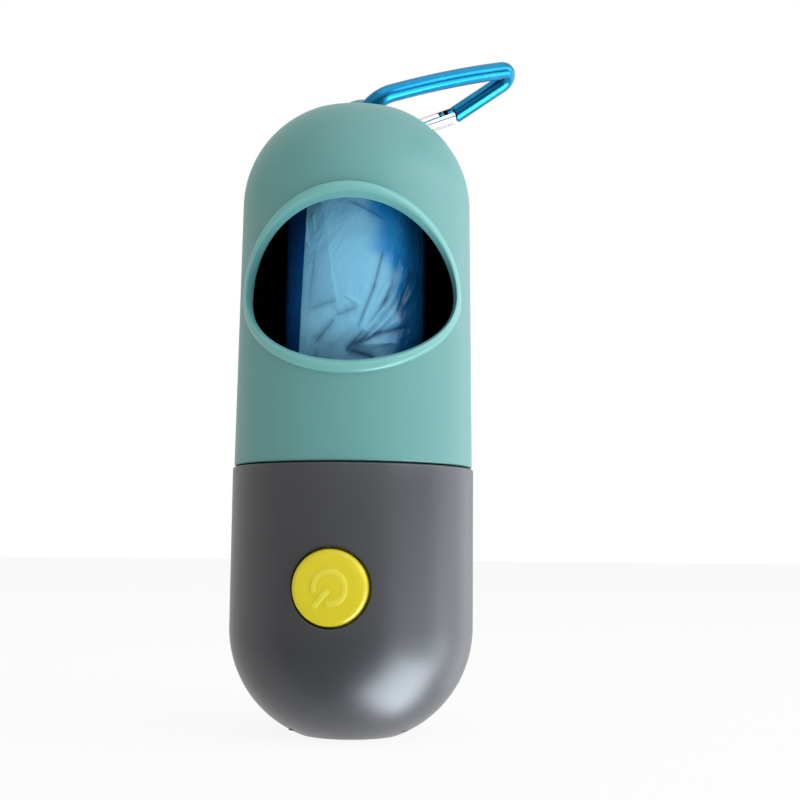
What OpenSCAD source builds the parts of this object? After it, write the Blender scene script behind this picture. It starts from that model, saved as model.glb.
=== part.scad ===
// Dog poop bag dispenser: a capsule whose upper half holds the roll of bags
// behind a window, and whose lower half is a push-button torch.
// The origin is the centre of the flat base. +Z runs up the body to the clip,
// and the window faces -Y.

/* [Body] */
// Height of the closed body, without the clip eye
body_h = 129; // [127:0.5:134]
// Height of the seam between the two halves
seam_z = 53.9; // [53:0.1:57]
// Outer diameter of the lower half
lower_d = 50; // [49.6:0.1:53]
// Outer diameter of the upper half at the seam
upper_d = 49.4; // [49:0.1:52]
// Outer diameter of the upper half where its dome starts
upper_top_d = 48.1; // [47.4:0.1:49]
// Height of the domed part of the base
base_dome_h = 21.5; // [20:0.1:22]
// Diameter of the flat that the body stands on
base_flat_d = 20.8; // [20.2:0.1:22]
// Height of the top dome
top_dome_h = 20; // [18:0.1:21]
// Diameter of the flat on top of the dome
top_flat_d = 23; // [20:0.5:25]
// Wall thickness of the lower half
lower_wall = 2; // [1.6:0.1:2.2]
// Wall thickness of the upper half
upper_wall = 2.2; // [1.8:0.1:2.4]
// Chamfer on the outer edges at the seam
seam_chamfer = 0.3; // [0.1:0.1:0.6]

/* [Window] */
// Height of the window's widest level
window_z = 87.9; // [86:0.1:90]
// Width of the window
window_w = 42.4; // [38:0.2:43]
// Height of the window above its widest level
window_up = 18.6; // [16:0.1:19]
// Height of the window below its widest level
window_down = 14.8; // [12:0.1:16]
// Width of the rim at the top and bottom of the window
rim_w = 2.3; // [1.5:0.1:3]
// Width of the rim at the sides, as seen from the front
rim_side_w = 1.1; // [0.8:0.1:1.3]
// Height of the rim over the shell
rim_proud = 0.9; // [0.5:0.1:1.2]

/* [Clip eye] */
// Angle of the eye behind the dome's axis
eye_lean = 25; // [20:1:30]
// Height of the eye's hole over the dome
eye_standoff = 4.4; // [4.2:0.1:5.2]
// Diameter of the eye's hole
eye_hole_d = 6.2; // [5.6:0.1:6.8]
// Wall round the eye's hole
eye_wall = 2.4; // [2:0.1:3.2]
// Thickness of the eye
eye_t = 3.4; // [2.6:0.1:4]

/* [Neck and seal] */
// Height of the neck over the seam
neck_h = 6.1; // [5:0.1:8]
// Wall of the neck, measured beside the groove
neck_wall = 2.5; // [2.2:0.1:2.8]
// Gap between the neck and the upper half, per side
neck_clearance = 0.2; // [0.12:0.01:0.3]
// Thickness of the ring's rubber cord
o_ring_cord_d = 1.5; // [1.2:0.1:1.8]
// Gap between the ring and the upper half, per side
o_ring_clearance = 0.05; // [0.02:0.01:0.08]
// Depth of the partition's top face under the seam
partition_drop = 5.9; // [5.5:0.1:7]
// Thickness of the partition
partition_t = 2; // [1.8:0.1:2.4]
// Gap between the partition and the lower shell, per side
partition_clearance = 0.2; // [0.1:0.05:0.3]
// Distance of the cap screws from the axis
cap_screw_r = 17.2; // [17.1:0.1:17.4]
// Shank diameter of the cap screws
cap_screw_d = 1.9; // [1.6:0.1:2.2]
// Length of the cap screws under the head
cap_screw_len = 8; // [6:0.5:10]
// Diameter of the cap screws' heads
cap_head_d = 4; // [3.6:0.1:4.4]
// Height of the cap screws' heads, which are sunk into the partition
cap_head_h = 1.2; // [1:0.1:1.3]
// Diameter of the bosses that the cap screws bite into
boss_d = 5.2; // [4.6:0.1:5.4]

/* [Torch] */
// Diameter of the lens window
lens_d = 15.8; // [15:0.1:16.4]
// Diameter of the lens flange
lens_flange_d = 19.2; // [18:0.1:19.6]
// Thickness of the lens flange
lens_flange_t = 1.2; // [1:0.1:1.6]
// Gap round the lens, per side
lens_clearance = 0.1; // [0.05:0.01:0.2]
// Thickness of the shell's flat floor
floor_t = 2.2; // [2:0.1:2.4]
// Height of the reflector
reflector_h = 9.2; // [8.6:0.1:10]
// Wall of the reflector
reflector_wall = 1; // [0.8:0.1:1.2]
// Diameter of the LED's dome
led_d = 5; // [4.8:0.1:5.2]
// Height of the LED under its board
led_h = 6.2; // [5.6:0.1:7]
// Diameter of the LED's board
board_d = 28; // [27.6:0.2:30]
// Thickness of the LED's board
board_t = 1.6; // [1.2:0.1:2]
// Diameter of the two leads to the board
wire_d = 1.1; // [0.8:0.1:1.4]

/* [Button cells] */
// Diameter of a button cell
cell_d = 11.6; // [11.4:0.1:11.7]
// Height of a button cell
cell_h = 5.4; // [5:0.1:5.6]
// Gap round the cells, per side
cell_clearance = 0.15; // [0.1:0.01:0.3]
// Wall of the battery well
well_wall = 1.4; // [1.2:0.1:1.6]
// Diameter of the battery holder's plate
holder_d = 27.2; // [26.8:0.1:27.6]
// Thickness of the holder's plate
holder_t = 1.5; // [1.2:0.1:1.8]
// Height of the holder's legs over the LED's board
leg_h = 8.8; // [8.4:0.1:9.2]
// Distance of the legs from the axis
leg_r = 12; // [11.8:0.1:12.1]
// Diameter of the legs
leg_d = 2.8; // [2.4:0.1:3]
// Thickness of the contact plate
contact_t = 0.4; // [0.3:0.1:0.6]

/* [Battery door] */
// Diameter of the battery door
door_d = 24; // [23.8:0.1:24.4]
// Thickness of the door's flange
door_flange_t = 1.2; // [1:0.1:1.3]
// Diameter of the plug under the door
door_plug_d = 16; // [15:0.1:16.4]
// Height of the plug under the partition's top face
door_plug_h = 2.8; // [2.6:0.1:3]
// Gap round the door, per side
door_clearance = 0.1; // [0.05:0.01:0.2]
// Distance of the door screws from the axis
door_screw_r = 10.3; // [10.2:0.1:10.4]
// Shank diameter of the door screws
door_screw_d = 1.4; // [1.2:0.1:1.6]
// Diameter of the door screws' heads
door_head_d = 2.8; // [2.6:0.1:3]
// Height of the door screws' heads, which are sunk into the door
door_head_h = 0.7; // [0.6:0.1:0.8]
// Height of the posts that the door screws bite into
door_post_h = 3; // [2.6:0.1:3.4]
// Diameter of those posts
door_post_d = 4; // [3.6:0.1:4.2]

/* [Button] */
// Height of the button's centre
button_z = 30; // [29.4:0.1:31]
// Turn of the button from the window's centre plane, in degrees
button_turn = 5.6; // [0:0.1:8]
// Diameter of the button
button_d = 14.6; // [13.6:0.1:15]
// Gap round the button, per side
button_gap = 0.4; // [0.2:0.05:0.5]
// Distance that the button's face stands out of the shell
button_proud = 1.2; // [1:0.1:1.6]
// Height of the crown of the button's face
button_crown = 0.5; // [0.3:0.1:0.8]
// Radius of the button's edge
button_edge_r = 0.8; // [0.5:0.1:1.1]
// Travel of the button
button_travel = 1.2; // [0.8:0.1:1.4]
// Width of the flange that holds the button in
button_flange_w = 1.2; // [1:0.1:1.3]
// Outer radius of the power sign
sign_r = 3.7; // [3:0.1:4.2]
// Width of the power sign's strokes
sign_stroke = 1; // [0.7:0.1:1.2]
// Height of the power sign
sign_proud = 0.25; // [0.15:0.05:0.35]
// Direction of the power sign's bar, in degrees from +X
sign_turn = 230; // [180:5:270]
// Side of the square switch
switch_w = 8; // [7:0.1:8.4]
// Depth of the switch
switch_depth = 8; // [7.4:0.1:8.4]
// Diameter of the switch's stem
stem_d = 4; // [3.6:0.1:4.2]

/* [Roll of bags] */
// Outer diameter of a full roll
roll_d = 29.4; // [27:0.2:29.6]
// Length of the roll
roll_h = 63; // [60:0.5:66]
// Inner diameter of the card core
core_d = 12; // [11.8:0.1:13]
// Wall of the card core
core_wall = 1; // [0.8:0.1:1.2]
// Height of the peg that centres the roll
peg_h = 12; // [8:0.5:16]
// Gap between the peg and the core, per side
peg_clearance = 0.2; // [0.1:0.05:0.4]
// Gap between the roll and the face that it turns on
roll_gap = 0.15; // [0.1:0.05:0.3]
// Depth of the loose folds in front of the roll
fold_depth = 2; // [1:0.1:2.6]
// Height of the loose folds
fold_h = 61; // [54:0.5:62]
// Angle round the roll where the loose folds begin
fold_from = 205; // [200:5:230]
// Angle round the roll that the loose folds cover
fold_span = 140; // [100:5:150]

/* [Carabiner] */
// Diameter of the rod
rod_d = 4; // [3.6:0.1:4.2]
// Length of the loop along the rod's centre line
clip_len = 38.2; // [37:0.1:40]
// Radius of the bend in the eye, to the rod's centre line
end_bend_r = 6.8; // [6.4:0.1:7.2]
// Radius of the far bend, to the rod's centre line
tip_bend_r = 2.35; // [2.2:0.05:2.6]
// Radius of the arched spine
spine_r = 180; // [150:10:240]
// Angle between the nose arm and the loop's length
arm_angle = 31; // [28:0.5:33]
// Length of the nose arm
arm_len = 13; // [12:0.2:14]
// Length of the straight stub beside the hinge
stub_len = 1.4; // [1:0.1:2]
// Distance of the hinge pin from the stub's end
hinge_reach = 2.4; // [2.3:0.1:2.8]
// Length of the tongue on the nose
tongue_len = 3.6; // [3.2:0.1:4]
// Distance of the latch pin from the nose
latch_reach = 2.2; // [1.8:0.1:2.4]
// Depth of the gate's slot behind the hinge pin
fork_slot = 2.2; // [2.1:0.1:2.6]
// Depth of the gate's slot at the nose
nose_slot = 4.2; // [4:0.1:4.6]
// Length of the gate's spring
spring_len = 8; // [6:0.5:8.5]
// Diameter of the bore that holds the gate's spring
spring_bore_d = 2.4; // [2:0.1:2.6]
// Thickness of the gate spring's wire
spring_t = 0.3; // [0.25:0.05:0.4]
// Thickness of the tongues that the gate's forks straddle
tongue_t = 1.3; // [1:0.1:1.6]
// Gap between a tongue and its fork, per side
fork_clearance = 0.15; // [0.1:0.01:0.25]
// Diameter of the hinge pin
hinge_pin_d = 1.2; // [1:0.1:1.4]
// Running clearance of the gate on its pin, per side
pin_clearance = 0.05; // [0.02:0.01:0.08]
// Diameter of the latch pin
latch_pin_d = 1; // [0.8:0.1:1.2]
// Angle of the loop's length over the level at the eye
clip_swing = 28.5; // [20:0.5:40]
// Turn of the loop in the eye
clip_twist = 13; // [8:0.5:16]

/* [Hidden] */
$fn = 96;
eps = 0.01;
past = 1;

lower_r = lower_d / 2;
upper_r = upper_d / 2;
upper_top_r = upper_top_d / 2;
base_flat_r = base_flat_d / 2;
top_flat_r = top_flat_d / 2;
dome_z = body_h - top_dome_h;
lower_bore_r = lower_r - lower_wall;
upper_bore_r = upper_r - upper_wall;

// The dome's side is an arc that starts upright at radius rs and meets the flat rf at height h.
function arc_centre(rs, rf, h) = (rs + rf - h * h / (rs - rf)) / 2;
base_arc_x = arc_centre(lower_r, base_flat_r, base_dome_h);
top_arc_x = arc_centre(upper_top_r, top_flat_r, top_dome_h);
top_arc_r = upper_top_r - top_arc_x;

// Neck, partition and seal
neck_r = upper_bore_r - neck_clearance;
neck_bore_r = neck_r - neck_wall;
neck_top = seam_z + neck_h;
partition_top = seam_z - partition_drop;
partition_z = partition_top - partition_t;
partition_r = lower_bore_r - partition_clearance;
o_ring_z = seam_z + neck_h / 2;
o_ring_mid_r = upper_bore_r - o_ring_clearance - o_ring_cord_d / 2;
groove_slack = 0.1;
groove_r = o_ring_mid_r - o_ring_cord_d / 2 - groove_slack;
screw_slack = 0.05;
cap_seat_z = partition_top - cap_head_h;
boss_z = base_dome_h + 1;
spokes = [90, 210, 330];

// Roll of bags, which stands on the partition
roll_z = partition_top + roll_gap;
core_r = core_d / 2 + core_wall;

// Lamp stack on the shell's floor
led_flange_d = led_d + 0.8;
led_flange_h = 1;
lens_top = floor_t + lens_flange_t;
board_z = lens_top + reflector_h;
holder_z = board_z + board_t + leg_h;
holder_top = holder_z + holder_t;
post_d = 3;
wire_x = 6;
wire_y = 8;

// Cells hang under the contact plate on the door's plug
plate_z = partition_top - door_plug_h - contact_t;
stack_z = plate_z - 3 * cell_h;
well_r = cell_d / 2 + cell_clearance;
well_top = plate_z - 0.2;
spring_wire_d = 0.5;

// Button, measured outwards from the body's axis
face_r = lower_r + button_proud;
button_r = button_d / 2;
hole_r = button_r + button_gap;
flange_r = button_r + button_flange_w;
seat_slack = 0.3;
seat_x = sqrt(pow(lower_bore_r, 2) - pow(hole_r + 0.4, 2));
flange_top = seat_x - seat_slack;
flange_t = 1;
flange_bottom = flange_top - flange_t;
cup_wall = 1.6;
cup_top = face_r - button_crown - cup_wall - 0.4;
stem_bottom_depth = 2.4;
switch_top = flange_bottom - button_travel - 3;
switch_z = switch_top - switch_depth;
bracket_wall = 1.2;

// Carabiner: a loop in its own plane, u along and v across, with the eye at the origin.
arch_angle = 2 * asin((clip_len - end_bend_r - tip_bend_r) / 2 / spine_r);
START = [end_bend_r + stub_len, end_bend_r, 180];
LINE = 0;
BEND = 1;
// Each stretch: its kind, its length or radius, its turn, and the rings that it is swept in.
loop_path = [
    [LINE, stub_len, 0, 1],
    [BEND, end_bend_r, 180 - arch_angle / 2, 20],
    [BEND, spine_r, arch_angle, 5],
    [BEND, tip_bend_r, 180 - arm_angle - arch_angle / 2, 16],
    [LINE, arm_len, 0, 1]
];
function bend_centre(at, r) = [at[0] - r * sin(at[2]), at[1] + r * cos(at[2])];
function after_line(at, len) = [at[0] + len * cos(at[2]), at[1] + len * sin(at[2]), at[2]];
function after_bend(at, r, turn, c) =
    [c[0] + r * sin(at[2] + turn), c[1] - r * cos(at[2] + turn), at[2] + turn];
function after(at, s) = s[0] == LINE
    ? after_line(at, s[1])
    : after_bend(at, s[1], s[2], bend_centre(at, s[1]));
function pose_at(i) = i == 0 ? START : after(pose_at(i - 1), loop_path[i - 1]);
function share(s, k) = s[0] == LINE ? [LINE, s[1] * k] : [BEND, s[1], s[2] * k];
rod_poses = [
    START,
    for (i = [0:len(loop_path) - 1], k = [1:loop_path[i][3]])
        after(pose_at(i), share(loop_path[i], k / loop_path[i][3]))
];
nose = pose_at(len(loop_path));
hinge = [START[0] + hinge_reach, START[1]];
gate_turn = atan2(nose[1] - hinge[1], nose[0] - hinge[0]);
gate_len = norm([nose[0] - hinge[0], nose[1] - hinge[1]]);
latch_x = gate_len - latch_reach;
fork_t = tongue_t + 2 * fork_clearance;

// Places the children behind the dome, on the eye's hole, with Y along the hole.
module at_eye() {
    reach = top_arc_r + eye_standoff;
    translate([0, top_arc_x + reach * sin(eye_lean), dome_z + reach * cos(eye_lean)])
        rotate([-eye_lean, 0, 0]) children();
}

// Places the children in the carabiner's plane.
module in_loop() {
    at_eye() rotate([0, -clip_swing, 0]) rotate([0, 0, clip_twist]) children();
}

// Places the children on the hinge pin, with X along the gate.
module at_gate() {
    in_loop() translate([hinge[0], hinge[1], 0]) rotate([0, 0, gate_turn]) children();
}

// Places the children on the button's axis, with Z outwards and Y up.
module at_button() {
    rotate([0, 0, -button_turn]) translate([0, 0, button_z]) rotate([90, 0, 0]) children();
}

// Puts a copy at each spoke, at distance r from the axis.
module on_spokes(r) {
    for (a = spokes) rotate([0, 0, a]) translate([r, 0, 0]) children();
}

// Half section of the lower half, inset by wall at the side and by flat at the base.
module lower_section(wall, flat) {
    intersection() {
        translate([base_arc_x, base_dome_h]) circle(r = lower_r - base_arc_x - wall);
        translate([0, flat]) square([lower_r, base_dome_h - flat]);
    }
    translate([0, base_dome_h]) square([lower_r - wall, seam_z - base_dome_h]);
}

// Half section of the upper dome, inset by wall.
module dome_section(wall) {
    intersection() {
        translate([top_arc_x, dome_z]) circle(r = top_arc_r - wall);
        translate([0, dome_z]) square([upper_r, top_dome_h - wall]);
    }
}

// Half section of the upper half's side, out to the shell plus grow.
module upper_side_section(grow) {
    polygon([[0, seam_z], [upper_r + grow, seam_z], [upper_top_r + grow, dome_z], [0, dome_z]]);
}

// Egg-shaped outline of the window, grown at the side and at the ends.
module egg(side, end) {
    half_w = window_w / 2 + side;
    intersection() {
        scale([half_w, window_up + end]) circle(r = 1);
        translate([-half_w, 0]) square([2 * half_w, window_up + end]);
    }
    intersection() {
        scale([half_w, window_down + end]) circle(r = 1);
        translate([-half_w, -window_down - end]) square([2 * half_w, window_down + end]);
    }
}

module through_window(side, end) {
    translate([0, 0, window_z]) rotate([90, 0, 0])
        linear_extrude(height = lower_r + rim_proud + past) egg(side, end);
}

module eye_plate() {
    eye_r = eye_hole_d / 2 + eye_wall;
    foot = eye_standoff + upper_wall / 2;
    at_eye() rotate([90, 0, 0]) translate([0, 0, -eye_t / 2]) {
        cylinder(r = eye_r, h = eye_t);
        translate([-eye_r, -foot, 0]) cube([2 * eye_r, foot, eye_t]);
    }
}

module upper_shell() {
    bore_top = neck_top + past;
    color([0.49, 0.745, 0.725]) difference() {
        union() {
            rotate_extrude() difference() {
                union() {
                    upper_side_section(0);
                    dome_section(0);
                }
                translate([upper_r - seam_chamfer, seam_z]) rotate(-45)
                    square([2 * seam_chamfer, 2 * seam_chamfer], center = true);
            }
            intersection() {
                rotate_extrude() upper_side_section(rim_proud);
                through_window(rim_side_w, rim_w);
            }
            eye_plate();
        }
        rotate_extrude() {
            translate([0, seam_z - past]) square([upper_bore_r, bore_top - seam_z + past]);
            polygon([[0, bore_top], [upper_bore_r, bore_top],
                [upper_top_r - upper_wall, dome_z], [0, dome_z]]);
            dome_section(upper_wall);
        }
        through_window(0, 0);
        at_eye() rotate([90, 0, 0]) cylinder(d = eye_hole_d, h = eye_t + 2 * past, center = true);
    }
}

module lower_shell() {
    rib_w = 2;
    color([0.29, 0.29, 0.31]) difference() {
        union() {
            rotate_extrude() difference() {
                lower_section(0, 0);
                lower_section(lower_wall, floor_t);
                translate([0, seam_z - past]) square([lower_bore_r, 2 * past]);
            }
            intersection() {
                rotate_extrude() lower_section(lower_wall / 2, floor_t / 2);
                union() {
                    on_spokes(leg_r) cylinder(d = post_d, h = board_z);
                    on_spokes(cap_screw_r) {
                        translate([0, 0, boss_z]) cylinder(d = boss_d, h = partition_z - boss_z);
                        translate([0, -rib_w / 2, boss_z])
                            cube([lower_r - cap_screw_r, rib_w, partition_z - boss_z]);
                    }
                }
            }
        }
        translate([0, 0, -past]) cylinder(d = lens_d + 2 * lens_clearance, h = floor_t + 2 * past);
        translate([0, 0, cap_seat_z - cap_screw_len])
            on_spokes(cap_screw_r) cylinder(d = cap_screw_d + 2 * screw_slack, h = cap_screw_len + past);
        at_button() {
            cylinder(r = hole_r, h = lower_r + past);
            cylinder(r = flange_r + seat_slack, h = seat_x);
        }
        rotate_extrude() translate([lower_r, seam_z]) rotate(45)
            square([1.4 * seam_chamfer, 1.4 * seam_chamfer], center = true);
    }
}

module inner_cap() {
    post_hole_h = door_post_h - 0.4;
    color([0.24, 0.24, 0.26]) difference() {
        union() {
            translate([0, 0, partition_z]) cylinder(r = partition_r, h = partition_t);
            translate([0, 0, partition_z]) cylinder(r = neck_r, h = neck_top - partition_z);
            for (side = [-1, 1]) translate([side * door_screw_r, 0, partition_z - door_post_h])
                cylinder(d = door_post_d, h = door_post_h + eps);
        }
        translate([0, 0, partition_top]) cylinder(r = neck_bore_r, h = neck_top - partition_top + past);
        translate([0, 0, partition_z - past])
            cylinder(d = door_plug_d + 2 * door_clearance, h = partition_t + 2 * past);
        translate([0, 0, partition_top - door_flange_t])
            cylinder(d = door_d + 2 * door_clearance, h = door_flange_t + past);
        on_spokes(cap_screw_r) {
            translate([0, 0, partition_z - past])
                cylinder(d = cap_screw_d + 4 * screw_slack, h = partition_t + 2 * past);
            translate([0, 0, cap_seat_z]) cylinder(d = cap_head_d + 4 * screw_slack, h = cap_head_h + past);
        }
        for (side = [-1, 1]) translate([side * door_screw_r, 0, partition_z - post_hole_h])
            cylinder(d = door_screw_d + 2 * screw_slack, h = post_hole_h + partition_t);
        rotate_extrude() translate([groove_r, o_ring_z - o_ring_cord_d / 2 - groove_slack])
            square([neck_wall, o_ring_cord_d + 2 * groove_slack]);
    }
}

// Cross-headed screw with its head's underside at z = 0.
module screw(head_r, head_h, shank_d, len) {
    slot_w = 0.4;
    difference() {
        union() {
            cylinder(r = head_r, h = head_h);
            translate([0, 0, -len]) cylinder(d = shank_d, h = len + eps);
        }
        for (a = [0, 90]) rotate([0, 0, a]) translate([-head_r * 0.6, -slot_w / 2, head_h / 2])
            cube([head_r * 1.2, slot_w, head_h]);
    }
}

module cap_screws() {
    color("silver") translate([0, 0, cap_seat_z]) on_spokes(cap_screw_r)
        screw(cap_head_d / 2, cap_head_h, cap_screw_d, cap_screw_len);
}

module o_ring() {
    color([0.1, 0.1, 0.1]) translate([0, 0, o_ring_z]) rotate_extrude()
        translate([o_ring_mid_r, 0]) circle(d = o_ring_cord_d);
}

module battery_door() {
    peg_wall = 1.4;
    color([0.3, 0.3, 0.32]) difference() {
        union() {
            translate([0, 0, partition_top - door_flange_t]) cylinder(d = door_d, h = door_flange_t);
            translate([0, 0, partition_top - door_plug_h]) cylinder(d = door_plug_d, h = door_plug_h);
            translate([0, 0, partition_top]) cylinder(d = core_d - 2 * peg_clearance, h = peg_h);
        }
        translate([0, 0, partition_top])
            cylinder(d = core_d - 2 * peg_clearance - 2 * peg_wall, h = peg_h + past);
        for (side = [-1, 1]) translate([side * door_screw_r, 0, partition_top - door_flange_t - past]) {
            cylinder(d = door_screw_d + 2 * screw_slack, h = door_flange_t + 2 * past);
            translate([0, 0, past + door_flange_t - door_head_h])
                cylinder(d = door_head_d + 4 * screw_slack, h = door_head_h + past);
        }
    }
}

module door_screws() {
    shank = partition_t - door_head_h + door_post_h - 0.6;
    color("silver") for (side = [-1, 1])
        translate([side * door_screw_r, 0, partition_top - door_head_h])
            screw(door_head_d / 2, door_head_h, door_screw_d, shank);
}

module battery_holder() {
    bracket = switch_w + 2 * bracket_wall;
    color([0.85, 0.85, 0.83]) difference() {
        union() {
            translate([0, 0, holder_z]) cylinder(d = holder_d, h = holder_t);
            translate([0, 0, holder_z]) cylinder(r = well_r + well_wall, h = well_top - holder_z);
            on_spokes(leg_r) translate([0, 0, board_z + board_t])
                cylinder(d = leg_d, h = partition_z - board_z - board_t);
            at_button() translate([-bracket / 2, holder_z - button_z, 0])
                cube([bracket, button_z - holder_z + bracket / 2, switch_z + 4]);
        }
        translate([0, 0, holder_top]) cylinder(r = well_r, h = well_top - holder_top + past);
        at_button() translate([-switch_w / 2, -switch_w / 2, switch_z])
            cube([switch_w, switch_w, switch_depth]);
    }
}

module button_cell(i) {
    cap_d = cell_d - 2.2;
    cap_h = 1;
    color([0.8, 0.8, 0.82]) translate([0, 0, stack_z + i * cell_h]) {
        cylinder(d = cap_d, h = cap_h);
        translate([0, 0, cap_h]) cylinder(d = cell_d, h = cell_h - cap_h);
    }
}

module button_cell_1() {
    button_cell(0);
}

module button_cell_2() {
    button_cell(1);
}

module button_cell_3() {
    button_cell(2);
}

// Closed tube, from rings that each have the given number of points and turn right-handed along it.
module tube(rings, sides) {
    last = len(rings) - 1;
    points = [for (ring = rings) each ring];
    faces = concat(
        [[for (j = [0:sides - 1]) j]],
        [[for (j = [sides - 1:-1:0]) last * sides + j]],
        [
            for (i = [0:last - 1], j = [0:sides - 1])
                let (k = (j + 1) % sides)
                    [i * sides + j, (i + 1) * sides + j, (i + 1) * sides + k]
        ],
        [
            for (i = [0:last - 1], j = [0:sides - 1])
                let (k = (j + 1) % sides)
                    [i * sides + j, (i + 1) * sides + k, i * sides + k]
        ]
    );
    polyhedron(points, faces);
}

// Coil of round wire that stands on z = 0 and goes from radius r0 at the foot to r1 at the top.
module coil(wire, r0, r1, h, turns) {
    sides = 6;
    steps = turns * 14;
    tube([
        for (i = [0:steps])
            let (a = 360 * i / 14, r = r0 + (r1 - r0) * i / steps, z = wire / 2 + (h - wire) * i / steps)
                [
                    for (j = [0:sides - 1])
                        let (t = -360 * j / sides, x = r + wire / 2 * cos(t))
                            [x * cos(a), x * sin(a), z + wire / 2 * sin(t)]
                ]
    ], sides);
}

module contact_spring() {
    color("gold") translate([0, 0, holder_top])
        coil(spring_wire_d, well_r - 1.2, well_r / 2, stack_z - holder_top, 4);
}

module contact_plate() {
    color("gold") translate([0, 0, plate_z]) cylinder(d = cell_d - 2.6, h = contact_t);
}

module switch_body() {
    bore_z = switch_top - stem_bottom_depth - button_travel - 0.2;
    color([0.15, 0.15, 0.16]) at_button() difference() {
        translate([-switch_w / 2, -switch_w / 2, switch_z]) cube([switch_w, switch_w, switch_depth]);
        translate([0, 0, bore_z]) cylinder(d = stem_d + 2 * pin_clearance, h = switch_depth);
    }
}

module switch_plunger() {
    color([0.9, 0.9, 0.88]) at_button() translate([0, 0, switch_top - stem_bottom_depth])
        cylinder(d = stem_d, h = cup_top - switch_top + stem_bottom_depth);
}

module button_spring() {
    color("silver") at_button() translate([0, 0, switch_top])
        coil(spring_wire_d, stem_d / 2 + 1.2, stem_d / 2 + 1.2, cup_top - switch_top, 4);
}

// Half section of the button's outside, with its crown raised by lift.
module button_section(lift) {
    flat_r = button_r - button_edge_r;
    edge_z = face_r - button_crown + lift;
    crown_r = (flat_r * flat_r + button_crown * button_crown) / (2 * button_crown);
    translate([0, flange_bottom]) square([button_r, edge_z - button_edge_r - flange_bottom]);
    translate([0, flange_bottom]) square([flat_r, edge_z - flange_bottom]);
    intersection() {
        translate([flat_r, edge_z - button_edge_r]) circle(r = button_edge_r);
        translate([flat_r - eps, 0]) square([button_edge_r * 2, edge_z + past]);
    }
    intersection() {
        translate([0, face_r + lift - crown_r]) circle(r = crown_r);
        translate([0, flange_top]) square([flat_r, face_r]);
    }
}

module power_sign() {
    bar_from = 0.35;
    bar_to = sign_r + sign_stroke;
    gap_half_angle = 32;
    rotate(sign_turn) {
        difference() {
            circle(r = sign_r);
            circle(r = sign_r - sign_stroke);
            polygon([[0, 0], [2 * sign_r, 2 * sign_r * tan(gap_half_angle)],
                [2 * sign_r, -2 * sign_r * tan(gap_half_angle)]]);
        }
        translate([bar_from, -sign_stroke / 2]) square([bar_to - bar_from, sign_stroke]);
    }
}

module power_button() {
    color([0.9, 0.86, 0.12]) at_button() difference() {
        union() {
            rotate_extrude() button_section(0);
            intersection() {
                rotate_extrude() button_section(sign_proud);
                translate([0, 0, face_r - 2]) linear_extrude(height = 3) power_sign();
            }
            translate([0, 0, flange_bottom]) cylinder(r = flange_r, h = flange_t);
        }
        translate([0, 0, flange_bottom - past])
            cylinder(r = button_r - cup_wall, h = cup_top - flange_bottom + past);
    }
}

module led_board() {
    hole_d = 1;
    color([0.1, 0.4, 0.2]) difference() {
        translate([0, 0, board_z]) cylinder(d = board_d, h = board_t);
        for (side = [-1, 1]) translate([side * led_d / 4, 0, board_z - past])
            cylinder(d = hole_d, h = board_t + 2 * past);
    }
}

module led() {
    color([0.95, 0.95, 0.9]) translate([0, 0, board_z]) mirror([0, 0, 1]) {
        cylinder(d = led_flange_d, h = led_flange_h);
        cylinder(d = led_d, h = led_h - led_d / 2);
        translate([0, 0, led_h - led_d / 2]) sphere(d = led_d);
    }
}

module reflector() {
    front_r = lens_flange_d / 2 - 0.3;
    back_r = led_flange_d / 2 + 0.1;
    collar_h = led_flange_h + 0.4;
    color([0.88, 0.88, 0.9]) rotate_extrude() polygon([
        [front_r - reflector_wall, lens_top], [front_r, lens_top],
        [back_r + reflector_wall, board_z - collar_h], [back_r + reflector_wall, board_z],
        [back_r, board_z], [back_r, board_z - collar_h]
    ]);
}

module lens() {
    color([0.85, 0.9, 0.95, 0.5]) {
        cylinder(d = lens_d, h = floor_t);
        translate([0, 0, floor_t]) cylinder(d = lens_flange_d, h = lens_flange_t);
    }
}

module wire(side) {
    translate([side * wire_x, wire_y, board_z + board_t]) cylinder(d = wire_d, h = leg_h);
}

module wire_red() {
    color("red") wire(1);
}

module wire_black() {
    color([0.1, 0.1, 0.1]) wire(-1);
}

module roll_core() {
    color([0.7, 0.6, 0.45]) translate([0, 0, roll_z]) difference() {
        cylinder(r = core_r, h = roll_h);
        translate([0, 0, -past]) cylinder(d = core_d, h = roll_h + 2 * past);
    }
}

module bag_roll() {
    color([0.1, 0.45, 0.75]) translate([0, 0, roll_z]) difference() {
        cylinder(d = roll_d, h = roll_h);
        translate([0, 0, -past]) cylinder(r = core_r, h = roll_h + 2 * past);
    }
}

module loose_bag() {
    skin_gap = 0.1;
    color([0.5, 0.7, 0.85]) translate([0, 0, roll_z + (roll_h - fold_h) / 2])
        rotate([0, 0, fold_from]) rotate_extrude(angle = fold_span)
            translate([roll_d / 2 + skin_gap, 0]) square([fold_depth, fold_h]);
}

module rod() {
    sides = 16;
    tube([
        for (at = rod_poses)
            [
                for (j = [0:sides - 1])
                    let (t = 360 * j / sides, x = rod_d / 2 * cos(t))
                        [at[0] - x * sin(at[2]), at[1] + x * cos(at[2]), rod_d / 2 * sin(t)]
            ]
    ], sides);
}

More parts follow.
